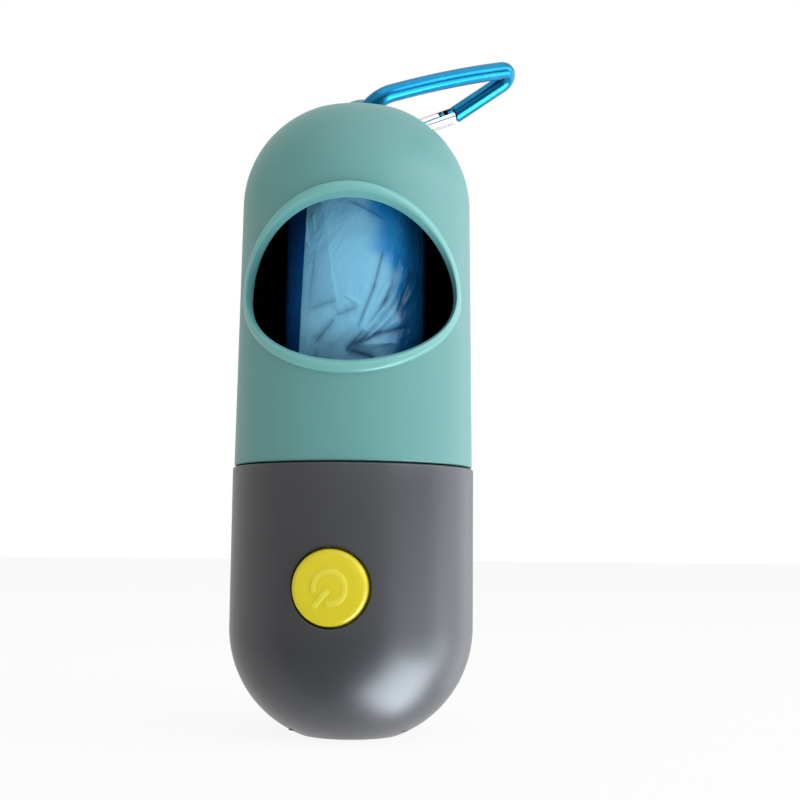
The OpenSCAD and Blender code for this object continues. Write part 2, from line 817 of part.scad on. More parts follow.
module carabiner_body() {
    color([0, 0.55, 0.85]) difference() {
        union() {
            difference() {
                in_loop() rod();
                at_gate() translate([gate_len - 2 * rod_d, -rod_d, -rod_d]) cube(2 * rod_d);
            }
            in_loop() {
                translate([hinge[0], hinge[1], -tongue_t / 2]) cylinder(d = rod_d * 0.8, h = tongue_t);
                translate([START[0] - 1, START[1] - rod_d * 0.4, -tongue_t / 2])
                    cube([hinge_reach + 1, rod_d * 0.8, tongue_t]);
            }
            at_gate() translate([gate_len - tongue_len, -rod_d * 0.36, -tongue_t / 2])
                cube([tongue_len + 1, rod_d * 0.72, tongue_t]);
        }
        in_loop() translate([hinge[0], hinge[1], -rod_d]) cylinder(d = hinge_pin_d, h = 2 * rod_d);
        at_gate() translate([latch_x, 0, 0]) {
            notch = latch_pin_d + 2 * fork_clearance;
            cylinder(d = notch, h = 2 * rod_d, center = true);
            translate([-notch / 2, -rod_d, -rod_d]) cube([notch, rod_d, 2 * rod_d]);
        }
    }
}

module gate_hinge_pin() {
    color("silver") in_loop() translate([hinge[0], hinge[1], -rod_d / 2 - 0.2])
        cylinder(d = hinge_pin_d, h = rod_d + 0.4);
}

module carabiner_gate() {
    end_gap = 0.3;
    color([0.85, 0.85, 0.87]) at_gate() difference() {
        union() {
            sphere(d = rod_d);
            rotate([0, 90, 0]) cylinder(d = rod_d, h = gate_len - end_gap);
        }
        translate([-rod_d, -rod_d, -fork_t / 2]) cube([rod_d + fork_slot, 2 * rod_d, fork_t]);
        translate([gate_len - nose_slot, -rod_d, -fork_t / 2]) cube([nose_slot + past, 2 * rod_d, fork_t]);
        cylinder(d = hinge_pin_d + 2 * pin_clearance, h = 2 * rod_d, center = true);
        translate([latch_x, 0, 0]) cylinder(d = latch_pin_d, h = 2 * rod_d, center = true);
        rotate([0, 90, 0]) cylinder(d = spring_bore_d, h = fork_slot + spring_len + 0.2);
    }
}

module gate_latch_pin() {
    color("silver") at_gate() translate([latch_x, 0, -rod_d / 2]) cylinder(d = latch_pin_d, h = rod_d);
}

module gate_spring() {
    coil_r = spring_bore_d / 2 - 0.1 - spring_t / 2;
    color("silver") at_gate() translate([fork_slot + 0.2, 0, 0]) rotate([0, 90, 0])
        coil(spring_t, coil_r, coil_r, spring_len, 8);
}

upper_shell();
lower_shell();
inner_cap();
cap_screws();
o_ring();
battery_door();
door_screws();
battery_holder();
button_cell_1();
button_cell_2();
button_cell_3();
contact_spring();
contact_plate();
switch_body();
switch_plunger();
button_spring();
power_button();
led_board();
led();
reflector();
lens();
wire_red();
wire_black();
roll_core();
bag_roll();
loose_bag();
carabiner_body();
carabiner_gate();
gate_hinge_pin();
gate_latch_pin();
gate_spring();
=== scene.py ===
# %% [markdown]
# # A capsule that holds dog waste bags
# The real object is two moulded halves. The upper half hides a roll of bags behind an egg-shaped
# window, the lower half is a small torch with a yellow button, and a blue clip hangs behind the dome.
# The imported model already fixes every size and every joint, so this lesson only dresses it: each
# visible piece is made again with soft edges and a finish, on the spot where its solid stands.

# %% Load the frame
from math import asin, atan2, cos, degrees, exp, hypot, log, pi, radians, sin, sqrt

import bmesh
import bpy
from mathutils import Euler, Matrix, Vector, noise


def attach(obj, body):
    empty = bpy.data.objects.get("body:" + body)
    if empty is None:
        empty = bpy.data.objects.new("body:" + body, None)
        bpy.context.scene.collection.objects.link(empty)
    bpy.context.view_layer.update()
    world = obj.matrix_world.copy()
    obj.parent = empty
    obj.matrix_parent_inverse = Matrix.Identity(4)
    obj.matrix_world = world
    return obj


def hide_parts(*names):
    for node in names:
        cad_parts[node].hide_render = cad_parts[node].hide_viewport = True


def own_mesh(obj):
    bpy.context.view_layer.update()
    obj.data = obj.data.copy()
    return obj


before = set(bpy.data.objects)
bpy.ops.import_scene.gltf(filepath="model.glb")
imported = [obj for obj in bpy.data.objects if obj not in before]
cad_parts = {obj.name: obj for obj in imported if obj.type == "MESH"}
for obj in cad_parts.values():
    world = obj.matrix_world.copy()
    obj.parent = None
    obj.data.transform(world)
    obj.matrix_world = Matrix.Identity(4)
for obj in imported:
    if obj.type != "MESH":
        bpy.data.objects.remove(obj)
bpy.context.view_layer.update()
scene = bpy.context.scene
scene.view_settings.view_transform = "Standard"

# %% [markdown]
# ## Working in millimetres
# A bag holder is small, so its sizes read best in millimetres. Every mesh below is drawn in
# millimetres and scaled to metres once, when it becomes an object. The object itself stays at the
# origin, unturned, because its place is in its mesh.

# %% Body sizes
MM = 0.001
BODY_H = 129.0
SEAM_Z = 53.9
LOWER_R = 25.0
UPPER_R = 24.7
UPPER_TOP_R = 24.05
BASE_DOME_H = 21.5
BASE_FLAT_R = 10.4
TOP_DOME_H = 20.0
TOP_FLAT_R = 11.5
LOWER_WALL = 2.0
UPPER_WALL = 2.2
DOME_Z = BODY_H - TOP_DOME_H


def arc_centre(side_r, flat_r, height):
    """Distance from the axis of the centre of an arc that starts upright and ends at the flat."""
    return (side_r + flat_r - height * height / (side_r - flat_r)) / 2


BASE_ARC_X = arc_centre(LOWER_R, BASE_FLAT_R, BASE_DOME_H)
TOP_ARC_X = arc_centre(UPPER_TOP_R, TOP_FLAT_R, TOP_DOME_H)
BASE_ARC_R = LOWER_R - BASE_ARC_X
TOP_ARC_R = UPPER_TOP_R - TOP_ARC_X
print("dome arcs:", round(BASE_ARC_R, 2), round(TOP_ARC_R, 2), "mm")


def upper_radius(z):
    """Radius of the upper half's side, which tapers a little towards the dome."""
    return UPPER_R + (UPPER_TOP_R - UPPER_R) * (z - SEAM_Z) / (DOME_Z - SEAM_Z)


# %% [markdown]
# ## The camera
# A small object is looked at from close by, so near parts look larger than far ones. A lens of
# about 58 mm at 27 cm gives that look. The camera stands low and to the right, and tilts up a little.

# %% Camera
LENS = 58.2462
CAMERA_AT = (0.01964, -0.270, 0.03805)
CAMERA_TURN = (96.4117, -0.5409, 2.0706)

camera_data = bpy.data.cameras.new("camera")
camera_data.lens = LENS
camera_data.sensor_width = 36.0
camera_data.clip_start = 0.01
camera = bpy.data.objects.new("camera", camera_data)
camera.location = CAMERA_AT
camera.rotation_euler = Euler([radians(a) for a in CAMERA_TURN])
scene.collection.objects.link(camera)
scene.camera = camera
print("camera lens", LENS, "mm")

# %% [markdown]
# ## Light
# Plain soft light shows plastic best. Two broad lamps on the right, one above the other, light the
# body's right side, and a weaker one stands high in front. Another shines up from under a light
# table. Beside it lies a card, which is a lamp that lights no matt surface and is seen in reflections
# alone, and it draws the highlight low on the dark half. A second card stands behind on the right.
# The world fills the rest. It is white to the camera and in reflections, and weaker as a light, so
# that the left side stays calm. Low in front the room is dark, and on the left it is dim. Only
# reflections see that, and it draws the dark line along the polished metal.

# %% Light values and helpers
WORLD_LIGHT = 0.50
WORLD_TINT = (1.0, 0.98, 0.93, 1)
# Along one axis of a ray's direction, where the darkness begins and where it is full.
DARK_FRONT = (-0.02, -0.35)
DARK_LOW = (0.05, -0.08)
DIM_LEFT = (0.1, -0.7)
DARK_SHARE = 0.7
DIM_SHARE = 0.25
LAMP_TINT = (0.84, 0.93, 1.0)
BODY_MIDDLE = (0, 0, 0.06)
BODY_FOOT = (0, 0, 0.02)
BODY_SHOULDER = (0, 0, 0.09)


def add_math(tree, operation, first, second):
    """A Math node whose inputs are sockets or plain numbers."""
    node = tree.nodes.new("ShaderNodeMath")
    node.operation = operation
    for slot, value in zip(node.inputs, (first, second)):
        if isinstance(value, (int, float)):
            slot.default_value = value
        else:
            tree.links.new(value, slot)
    return node.outputs[0]


def add_range(tree, value, low, high):
    """0 where the value is at low and 1 where it is at high, even in between and held outside."""
    node = tree.nodes.new("ShaderNodeMapRange")
    node.inputs["From Min"].default_value = low
    node.inputs["From Max"].default_value = high
    tree.links.new(value, node.inputs["Value"])
    return node.outputs["Result"]


def background_factor(tree):
    """1 for rays that see the background, 0 for rays that only carry light."""
    path = tree.nodes.new("ShaderNodeLightPath")
    seen = add_math(tree, "MAXIMUM", path.outputs["Is Camera Ray"], path.outputs["Is Glossy Ray"])
    return add_math(tree, "MAXIMUM", seen, path.outputs["Is Transmission Ray"])


def end_in_mix(tree, output, factor, lighting, seen):
    """Ends a tree in a mix of the shader that lights and the shader that is seen."""
    mix = tree.nodes.new("ShaderNodeMixShader")
    out = tree.nodes.new(output)
    tree.links.new(factor, mix.inputs[0])
    tree.links.new(lighting.outputs[0], mix.inputs[1])
    tree.links.new(seen.outputs[0], mix.inputs[2])
    tree.links.new(mix.outputs[0], out.inputs["Surface"])


# %% World
world = bpy.data.worlds.new("studio")
scene.world = world
world.use_nodes = True
tree = world.node_tree
tree.nodes.clear()
fill = tree.nodes.new("ShaderNodeBackground")
fill.inputs["Color"].default_value = WORLD_TINT
fill.inputs["Strength"].default_value = WORLD_LIGHT
white = tree.nodes.new("ShaderNodeBackground")
white.inputs["Color"].default_value = (1, 1, 1, 1)
path = tree.nodes.new("ShaderNodeLightPath")
outward = tree.nodes.new("ShaderNodeTexCoord")
split = tree.nodes.new("ShaderNodeSeparateXYZ")
tree.links.new(outward.outputs["Generated"], split.inputs[0])
front = add_range(tree, split.outputs["Y"], *DARK_FRONT)
low = add_range(tree, split.outputs["Z"], *DARK_LOW)
left = add_range(tree, split.outputs["X"], *DIM_LEFT)
dark = add_math(tree, "MULTIPLY", add_math(tree, "MULTIPLY", front, low), DARK_SHARE)
dim = add_math(tree, "MULTIPLY", left, DIM_SHARE)
gloom = add_math(tree, "MAXIMUM", dark, dim)
gloom = add_math(tree, "MULTIPLY", gloom, path.outputs["Is Glossy Ray"])
tree.links.new(add_math(tree, "SUBTRACT", 1.0, gloom), white.inputs["Strength"])
end_in_mix(tree, "ShaderNodeOutputWorld", background_factor(tree), fill, white)
print("world light:", WORLD_LIGHT)


# %% Lamps
def area_lamp(name, at, aim, size, power, height=None, card=False):
    """A soft lamp at a point, turned towards another, with sizes in metres. It is square unless a
    height is given. A card is seen in reflections and lights no matt surface."""
    data = bpy.data.lights.new(name, "AREA")
    data.shape = "RECTANGLE"
    data.size = size
    data.size_y = height or size
    data.energy = power
    data.color = LAMP_TINT
    lamp = bpy.data.objects.new(name, data)
    lamp.location = at
    lamp.rotation_euler = (Vector(aim) - Vector(at)).to_track_quat("-Z", "Y").to_euler()
    lamp.visible_diffuse = not card
    scene.collection.objects.link(lamp)


for name, rise, power in (("upper_side_lamp", 0.38, 2.35), ("lower_side_lamp", -0.15, 2.15)):
    area_lamp(name, (0.57, -0.18, rise), BODY_MIDDLE, size=0.80, power=power, height=0.30)
area_lamp("table_lamp", (0.25, -0.12, -0.32), BODY_FOOT, size=0.38, power=2.7)
area_lamp("low_card", (0.31, -0.08, -0.34), BODY_FOOT, size=0.38, power=2.6, card=True)
area_lamp("rear_card", (0.55, 0.26, 0.02), BODY_MIDDLE, size=0.70, power=1.8, card=True)
area_lamp("top_lamp", (0.10, -0.26, 0.60), BODY_SHOULDER, size=0.70, power=1.2)

# %% [markdown]
# ## The floor
# The holder stands on a white light table. The table's plane is stage: it is in the scene but it is
# no part of the object. To the camera it is mostly plain white, with enough of its real shading left
# that the body's soft shadow shows, and it lets the lamps below shine through. Reflections look
# through it as well, so that they see those lamps and the white all round.

# %% Floor
FLOOR_SIZE = 3.0
FLOOR_GLOW = 0.9
FLOOR_WHITE = (0.92, 0.92, 0.92, 1)

floor_mesh = bpy.data.meshes.new("floor")
bm = bmesh.new()
bmesh.ops.create_grid(bm, x_segments=1, y_segments=1, size=FLOOR_SIZE)
bm.to_mesh(floor_mesh)
bm.free()
floor = bpy.data.objects.new("floor", floor_mesh)
scene.collection.objects.link(floor)
floor.visible_shadow = False
floor.visible_glossy = False

floor_paint = bpy.data.materials.new("white_table")
floor_paint.use_nodes = True
tree = floor_paint.node_tree
tree.nodes.clear()
matt = tree.nodes.new("ShaderNodeBsdfDiffuse")
matt.inputs["Color"].default_value = FLOOR_WHITE
glow = tree.nodes.new("ShaderNodeEmission")
glow.inputs["Color"].default_value = (1, 1, 1, 1)
share = add_math(tree, "MULTIPLY", background_factor(tree), FLOOR_GLOW)
end_in_mix(tree, "ShaderNodeOutputMaterial", share, matt, glow)
floor.data.materials.append(floor_paint)
print("floor:", 2 * FLOOR_SIZE, "m wide")

# %% [markdown]
# ## Shared surface effects
# Moulded plastic is never one flat colour. Its skin has a fine grain from the mould, its gloss
# changes a little from place to place, and its colour drifts by a few hundredths. Those three are
# one node group, and each plastic uses it with its own values. Metal has a second group, for fine
# turning lines and polish marks. Every group puts out a colour, a roughness and a normal.

# %% Node group helpers
SURFACE = {"Colour": "NodeSocketColor", "Roughness": "NodeSocketFloat", "Normal": "NodeSocketVector"}


def colour(red, green, blue):
    """A colour given as 0 to 255 on a screen, turned into the linear values that shaders use."""
    def linear(c):
        c = c / 255
        return c / 12.92 if c <= 0.04045 else ((c + 0.055) / 1.055) ** 2.4
    return (linear(red), linear(green), linear(blue), 1.0)


def group_tree(name, numbers, colours):
    """A new shader group with named number and colour inputs, and what they give inside it."""
    group = bpy.data.node_groups.new(name, "ShaderNodeTree")
    for kind, inputs in (("NodeSocketFloat", numbers), ("NodeSocketColor", colours)):
        for label, value in inputs.items():
            socket = group.interface.new_socket(label, in_out="INPUT", socket_type=kind)
            socket.default_value = value
    for label, kind in SURFACE.items():
        group.interface.new_socket(label, in_out="OUTPUT", socket_type=kind)
    return group, group.nodes.new("NodeGroupInput").outputs


def put_out(group, tint, rough, normal):
    """Joins what a group has made to its outputs."""
    result = group.nodes.new("NodeGroupOutput")
    for label, socket in zip(SURFACE, (tint, rough, normal)):
        group.links.new(socket, result.inputs[label])
    return group


def add_noise(group, scale, detail, stretch=None):
    """Noise on the object's own coordinates, drawn out along an axis where stretch says so."""
    place = group.nodes.new("ShaderNodeTexCoord").outputs["Object"]
    texture = group.nodes.new("ShaderNodeTexNoise")
    texture.inputs["Detail"].default_value = detail
    texture.inputs["Scale"].default_value = scale
    if stretch is not None:
        mapping = group.nodes.new("ShaderNodeMapping")
        mapping.inputs["Scale"].default_value = stretch
        group.links.new(place, mapping.inputs["Vector"])
        place = mapping.outputs["Vector"]
    group.links.new(place, texture.inputs["Vector"])
    return texture.outputs["Fac"]


def add_drift(group, value, pattern, amount):
    """A number that drifts round a value by up to half of amount, as the pattern says."""
    centred = add_math(group, "SUBTRACT", pattern, 0.5)
    return add_math(group, "ADD", add_math(group, "MULTIPLY", centred, amount), value)


def add_blend(group, share, first, second):
    """The first colour where share is 0 and the second where it is 1."""
    blend = group.nodes.new("ShaderNodeMix")
    blend.data_type = "RGBA"
    group.links.new(share, blend.inputs["Factor"])
    group.links.new(first, blend.inputs["A"])
    group.links.new(second, blend.inputs["B"])
    return blend.outputs["Result"]


def add_bump(group, pattern, strength, metres):
    """A normal that tilts as if the pattern stood up from the surface by so many metres."""
    bump = group.nodes.new("ShaderNodeBump")
    bump.inputs["Distance"].default_value = metres
    group.links.new(pattern, bump.inputs["Height"])
    group.links.new(strength, bump.inputs["Strength"])
    return bump.outputs["Normal"]


# %% Moulded plastic and metal groups
def moulded_skin():
    """Grain, gloss and colour drift of moulded plastic."""
    group, given = group_tree(
        "moulded skin",
        {"Gloss": 0.35, "Gloss drift": 0.08, "Grain": 0.06},
        {"Colour": (0.5, 0.5, 0.5, 1), "Shade": (0.45, 0.45, 0.45, 1)},
    )
    cloud = add_noise(group, scale=38.0, detail=3.0)
    tint = add_blend(group, cloud, given["Colour"], given["Shade"])
    smear = add_noise(group, scale=160.0, detail=5.0, stretch=(1, 1, 0.45))
    rough = add_drift(group, given["Gloss"], smear, given["Gloss drift"])
    grain = add_noise(group, scale=5200.0, detail=2.0)
    return put_out(group, tint, rough, add_bump(group, grain, given["Grain"], metres=0.00004))


def worked_metal():
    """Fine lines and worn polish of drawn, turned or pressed metal."""
    group, given = group_tree(
        "worked metal",
        {"Gloss": 0.25, "Gloss drift": 0.12, "Lines": 0.1},
        {"Colour": (0.7, 0.7, 0.7, 1), "Worn": (0.8, 0.8, 0.8, 1)},
    )
    marks = add_noise(group, scale=420.0, detail=6.0)
    worn = add_range(group, marks, low=0.58, high=0.72)
    tint = add_blend(group, worn, given["Colour"], given["Worn"])
    rough = add_drift(group, given["Gloss"], marks, given["Gloss drift"])
    lines = add_noise(group, scale=2600.0, detail=3.0, stretch=(0.2, 1, 1))
    return put_out(group, tint, rough, add_bump(group, lines, given["Lines"], metres=0.00003))


SKIN = moulded_skin()
METAL = worked_metal()
print("groups:", [g.name for g in bpy.data.node_groups])


# %% Material makers
def dressed(name, group, values):
    """A material whose Principled shader takes its colour, gloss and normal from a group, and that
    shader's inputs. A value that is a name stands for a mask on the mesh."""
    paint = bpy.data.materials.new(name)
    paint.use_nodes = True
    tree = paint.node_tree
    shader = tree.nodes["Principled BSDF"]
    effect = tree.nodes.new("ShaderNodeGroup")
    effect.node_tree = group
    for label, value in values.items():
        if isinstance(value, str):
            mask = tree.nodes.new("ShaderNodeAttribute")
            mask.attribute_name = value
            tree.links.new(mask.outputs["Fac"], effect.inputs[label])
        else:
            effect.inputs[label].default_value = value
    tree.links.new(effect.outputs["Colour"], shader.inputs["Base Color"])
    tree.links.new(effect.outputs["Roughness"], shader.inputs["Roughness"])
    tree.links.new(effect.outputs["Normal"], shader.inputs["Normal"])
    if "Colour" in values:
        paint.diffuse_color = values["Colour"]
    return paint, shader.inputs


def plastic(name, main, shade, gloss=0.35, drift=0.08, grain=0.1, specular=0.5):
    """Moulded plastic that drifts between two close colours."""
    values = {"Gloss": gloss, "Gloss drift": drift, "Grain": grain, "Colour": main, "Shade": shade}
    paint, inputs = dressed(name, SKIN, values)
    inputs["Specular IOR Level"].default_value = specular
    return paint


def metal(name, main, worn, gloss=0.25, drift=0.12, lines=0.12):
    """Bare or coated metal."""
    values = {"Gloss": gloss, "Gloss drift": drift, "Lines": lines, "Colour": main, "Worn": worn}
    paint, inputs = dressed(name, METAL, values)
    inputs["Metallic"].default_value = 1.0
    return paint


def clear_moulding(name, tint, gloss):
    """Clear plastic, with a plain transmission and a little haze in its gloss."""
    values = {"Gloss": gloss, "Gloss drift": 0.03, "Grain": 0.02, "Colour": tint, "Shade": tint}
    paint, inputs = dressed(name, SKIN, values)
    inputs["Transmission Weight"].default_value = 0.95
    inputs["IOR"].default_value = 1.49
    return paint


# %% [markdown]
# ## Plastics and metals of this holder
# The upper half is a satin grey-teal and the lower half a satin dark grey. Inside, the upper half
# is painted near black as painted shade, so the window looks into the dark. The button is a glossy
# lemon yellow, and its sign a paler one. The clip is blue anodised aluminium, with a polished gate.

# %% Materials
# After its two colours, a plastic has its gloss, drift, grain and specular, and a metal its gloss,
# drift and lines.
TEAL = plastic("teal_satin", colour(99, 156, 151), colour(93, 150, 146), 0.42, 0.06, 0.10)
# The rim's teal is lighter than the shell's as a painted highlight: it stands for the light its bead
# catches from above.
RIM_TEAL_PAINTED_LIGHT = plastic("teal_rim_painted_highlight", colour(118, 182, 178), colour(112, 176, 172), 0.36, 0.06, 0.10)
# Near black on the inner skin is painted shade: it stands for the dark inside the shell.
SHADE_LINING = plastic("painted_shade_lining", colour(14, 17, 20), colour(10, 12, 15), 0.55, 0.06, 0.10, 0.25)
GREY = plastic("grey_satin", colour(55, 55, 59), colour(51, 51, 55), 0.34, 0.06, 0.10, 0.62)
DARK = plastic("dark_satin", colour(48, 48, 52), colour(44, 44, 48), 0.42)
YELLOW = plastic("yellow_gloss", colour(224, 206, 26), colour(219, 200, 21), 0.26, 0.05, 0.05)
YELLOW_RAISED = plastic("yellow_raised", colour(229, 214, 56), colour(225, 210, 50), 0.4, 0.05, 0.05)
WHITE = plastic("white_moulding", colour(222, 222, 216), colour(214, 214, 208), 0.45)
BLACK = plastic("black_moulding", colour(28, 28, 30), colour(24, 24, 26), 0.45)
BOARD = plastic("green_board", colour(20, 92, 48), colour(16, 82, 42), 0.3)
RUBBER = plastic("black_rubber", colour(22, 22, 23), colour(28, 28, 29), 0.55, 0.1, 0.2, 0.3)
RED_SLEEVE = plastic("red_sleeve", colour(178, 24, 20), colour(160, 20, 18), 0.4)
BLACK_SLEEVE = plastic("black_sleeve", colour(20, 20, 20), colour(26, 26, 26), 0.4)
CARD = plastic("raw_card", colour(170, 140, 104), colour(150, 122, 90), 0.85, 0.05, 0.6, 0.2)
MIRROR = metal("metallised_mirror", colour(225, 226, 228), colour(235, 236, 238), 0.08, 0.03, 0.02)
STEEL = metal("plated_steel", colour(186, 186, 188), colour(205, 205, 206), 0.28)
WIRE = metal("drawn_wire", colour(180, 180, 182), colour(200, 200, 202), 0.24)
CELL = metal("cell_can", colour(200, 200, 204), colour(212, 212, 214), 0.2)
BRASS = metal("plated_brass", colour(206, 170, 92), colour(220, 188, 110), 0.25)
BLUE_METAL = metal("blue_anodised", colour(27, 120, 162), colour(34, 128, 170), 0.23, 0.03, 0.02)
SILVER = metal("polished_gate", colour(214, 214, 216), colour(226, 226, 228), 0.14, 0.06, 0.04)
CLEAR = clear_moulding("clear_lens", colour(240, 246, 250), 0.05)
RESIN = clear_moulding("led_resin", colour(250, 250, 236), 0.12)
print("materials:", len(bpy.data.materials))


# %% [markdown]
# ## Helpers for turned shapes
# Most pieces here are turned: a profile is drawn in the X-Z plane and spun round the axis. The
# profile itself is drawn with the same tools, a straight stretch by a new vertex and an arc by
# spinning the last vertex round a centre. Spinning back onto itself leaves doubles on the axis, so
# they are merged and the faces turned outwards again.

# %% Profile and piece helpers
# Steps round the body, and the angle in degrees past which an edge is left sharp.
ROUND = 288
SHARP = 32
# Distances in millimetres under which points are merged, edges are dropped and heights are the same.
DOUBLE = 0.0005
COLLAPSED = 0.0001
NEAR = 0.01


def soft_step(value):
    """0 below 0, 1 above 1, and smooth between."""
    value = min(1, max(0, value))
    return value * value * (3 - 2 * value)


def rise_from(value, begin, over):
    """0 up to begin, then a smooth rise to 1 over the stretch after it."""
    return soft_step((value - begin) / over)


def fall_to(value, end, over):
    """1 at first, then a smooth fall to 0 over the stretch before end."""
    return soft_step((end - value) / over)


def start(bm, x, z):
    """First point of a profile."""
    return bm.verts.new((x, 0, z))


def closed_section(bm, points, place=Matrix.Identity(4)):
    """Closed profile through points, each an x and a z, put where place says. Gives its verts and
    edges."""
    verts = [bm.verts.new(place @ Vector((x, 0, z))) for x, z in points]
    return verts + [bm.edges.new(pair) for pair in zip(verts, verts[1:] + verts[:1])]


def verts_of(geom):
    """The vertices among the parts of a mesh that an operator gives back."""
    return [g for g in geom if isinstance(g, bmesh.types.BMVert)]


def edges_of(geom):
    """The edges among them."""
    return [g for g in geom if isinstance(g, bmesh.types.BMEdge)]


def line(bm, vert, x, z, steps=1):
    """Straight stretch of a profile, in equal steps."""
    first = vert.co.copy()
    for i in range(1, steps + 1):
        new = bm.verts.new(first.lerp(Vector((x, 0, z)), i / steps))
        bm.edges.new((vert, new))
        vert = new
    return vert


def arc(bm, vert, x, z, turn, steps):
    """Arc of a profile round (x, z). A positive turn goes from +X towards +Z."""
    made = bmesh.ops.spin(
        bm, geom=[vert], cent=(x, 0, z), axis=(0, -1, 0), angle=radians(turn), steps=steps
    )
    return verts_of(made["geom_last"])[0]


def spin_round(bm, segments=ROUND):
    """Spins the whole profile round the Z axis into a closed skin."""
    bmesh.ops.spin(
        bm, geom=bm.verts[:] + bm.edges[:], cent=(0, 0, 0), axis=(0, 0, 1),
        angle=2 * pi, steps=segments, use_merge=True,
    )
    tidy(bm)


def tidy(bm):
    """Merges doubles, drops collapsed faces and turns the rest outwards."""
    bmesh.ops.remove_doubles(bm, verts=bm.verts, dist=DOUBLE)
    bmesh.ops.dissolve_degenerate(bm, edges=bm.edges, dist=COLLAPSED)
    bmesh.ops.recalc_face_normals(bm, faces=bm.faces)


def close_ends(bm):
    """Fills whatever is still open."""
    bmesh.ops.holes_fill(bm, edges=[e for e in bm.edges if e.is_boundary], sides=0)


def add_rod(bm, radius, length, place, segments):
    """A round rod along the Z axis of place, which is its middle."""
    bmesh.ops.create_cone(bm, cap_ends=True, segments=segments, radius1=radius, radius2=radius,
                          depth=length, matrix=place)


def carried(bm, place):
    """Moves every vertex to where place says."""
    for v in bm.verts:
        v.co = place(v.co)
    bmesh.ops.recalc_face_normals(bm, faces=bm.faces)


def bevel_edges(bm, edges, width, segments=3):
    """Rounds edges as the editor's bevel does."""
    bmesh.ops.bevel(
        bm, geom=list(edges), offset=width, offset_type="OFFSET", segments=segments,
        profile=0.5, affect="EDGES", clamp_overlap=True, material=-1,
    )


def as_object(name, bm, sharp=SHARP):
    """Turns a mesh drawn in millimetres into an object in metres, smooth but for its sharp edges."""
    bmesh.ops.scale(bm, vec=(MM, MM, MM), verts=bm.verts)
    mesh = bpy.data.meshes.new(name)
    bm.to_mesh(mesh)
    bm.free()
    mesh.shade_smooth()
    mesh.set_sharp_from_angle(angle=radians(sharp))
    obj = bpy.data.objects.new(name, mesh)
    scene.collection.objects.link(obj)
    return obj


def to_body(obj, place):
    """Moves a finished mesh, drawn about its own axes in millimetres, to its place on the body."""
    obj.data.transform(Matrix.Scale(MM, 4) @ place @ Matrix.Scale(1 / MM, 4))
    return obj


def fit(obj, body, materials, replaced=()):
    """Gives a piece its finish and the body it rides on, and hides the nodes it stands for."""
    for paint in materials:
        obj.data.materials.append(paint)
    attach(obj, body)
    if replaced:
        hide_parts(*replaced)
    print(obj.name, "on", body, "with", len(obj.data.polygons), "faces")
    return obj


def apply_modifiers(obj):
    """Bakes an object's modifiers into its mesh."""
    graph = bpy.context.evaluated_depsgraph_get()
    mesh = bpy.data.meshes.new_from_object(obj.evaluated_get(graph))
    obj.modifiers.clear()
    obj.data = mesh


def cut(obj, cutters, mode="DIFFERENCE"):
    """Cuts shapes out of an object, or adds them, with exact booleans, and removes the cutters."""
    for cutter in cutters:
        modifier = obj.modifiers.new("cut", "BOOLEAN")
        modifier.operation = mode
        modifier.solver = "EXACT"
        modifier.object = cutter
    apply_modifiers(obj)
    for cutter in cutters:
        bpy.data.objects.remove(cutter)
    obj.data.shade_smooth()
    obj.data.set_sharp_from_angle(angle=radians(SHARP))


# %% [markdown]
# ## The upper half
# The real piece is one moulding about 2.2 mm thick. Both of its skins are drawn as one profile and
# spun, with many rows where the window will be. The inner skin of the dome starts as a straight
# stretch and is pushed out to an even wall. The faces inside the window are deleted, so the long
# sides keep their smooth shading. The ragged edges of that opening are hidden in the raised rim,
# which comes next. Faces more than half a millimetre inside the outer skin are painted near black, as
# painted shade.

# %% Window sizes
WINDOW_Z = 87.9
WINDOW_HALF = 21.2
WINDOW_UP = 18.6
WINDOW_DOWN = 14.8
RIM_W = 2.3
RIM_SIDE_W = 1.1
RIM_MIDDLE = 0.5


def window_point(turn, across, lift):
    """Point of the rim: turn round the egg, across from its inner edge to its outer one, and lift
    over the shell. The wall inside the inner edge has the same draft all round."""
    half = WINDOW_HALF + (RIM_SIDE_W if across > 0 else RIM_W) * across
    rise = (WINDOW_UP if sin(turn) > 0 else WINDOW_DOWN) + RIM_W * across
    x = half * cos(turn)
    z = WINDOW_Z + rise * sin(turn)
    r = upper_radius(z) + lift
    return Vector((x, -sqrt(r * r - x * x), z))


def in_window(point, across):
    """True where a point of the shell lies inside the egg that runs midway through the rim."""
    half = WINDOW_HALF + RIM_SIDE_W * across
    rise = (WINDOW_UP if point.z > WINDOW_Z else WINDOW_DOWN) + RIM_W * across
    return point.y < 0 and hypot(point.x / half, (point.z - WINDOW_Z) / rise) < 1


# %% Upper shell
SEAM_ROUND = 0.4
SEAM_GAP = 0.14
TOP_EDGE_ROUND = 0.9
DOME_TURN = degrees(asin((TOP_FLAT_R - TOP_ARC_X) / TOP_ARC_R))
UPPER_BORE_R = UPPER_R - UPPER_WALL
ROWS_FROM = 68
WINDOW_ROWS = 68
# A point this far inside the outer skin belongs to the inner one.
INNER_FROM = 0.5

bm = bmesh.new()
v = start(bm, 0, BODY_H - UPPER_WALL)
v = line(bm, v, TOP_FLAT_R - TOP_EDGE_ROUND, BODY_H - UPPER_WALL, 4)
v = line(bm, v, UPPER_TOP_R - UPPER_WALL, DOME_Z, 20)
v = line(bm, v, UPPER_BORE_R, ROWS_FROM, WINDOW_ROWS)
v = line(bm, v, UPPER_BORE_R, SEAM_Z + SEAM_GAP, 4)
v = line(bm, v, UPPER_R - SEAM_ROUND, SEAM_Z + SEAM_GAP)
v = arc(bm, v, UPPER_R - SEAM_ROUND, SEAM_Z + SEAM_GAP + SEAM_ROUND, 90, 4)
v = line(bm, v, upper_radius(ROWS_FROM), ROWS_FROM, 4)
v = line(bm, v, UPPER_TOP_R, DOME_Z, WINDOW_ROWS)
v = arc(bm, v, TOP_ARC_X, DOME_Z, 90 - DOME_TURN, 34)
v = line(bm, v, 0, BODY_H, 8)
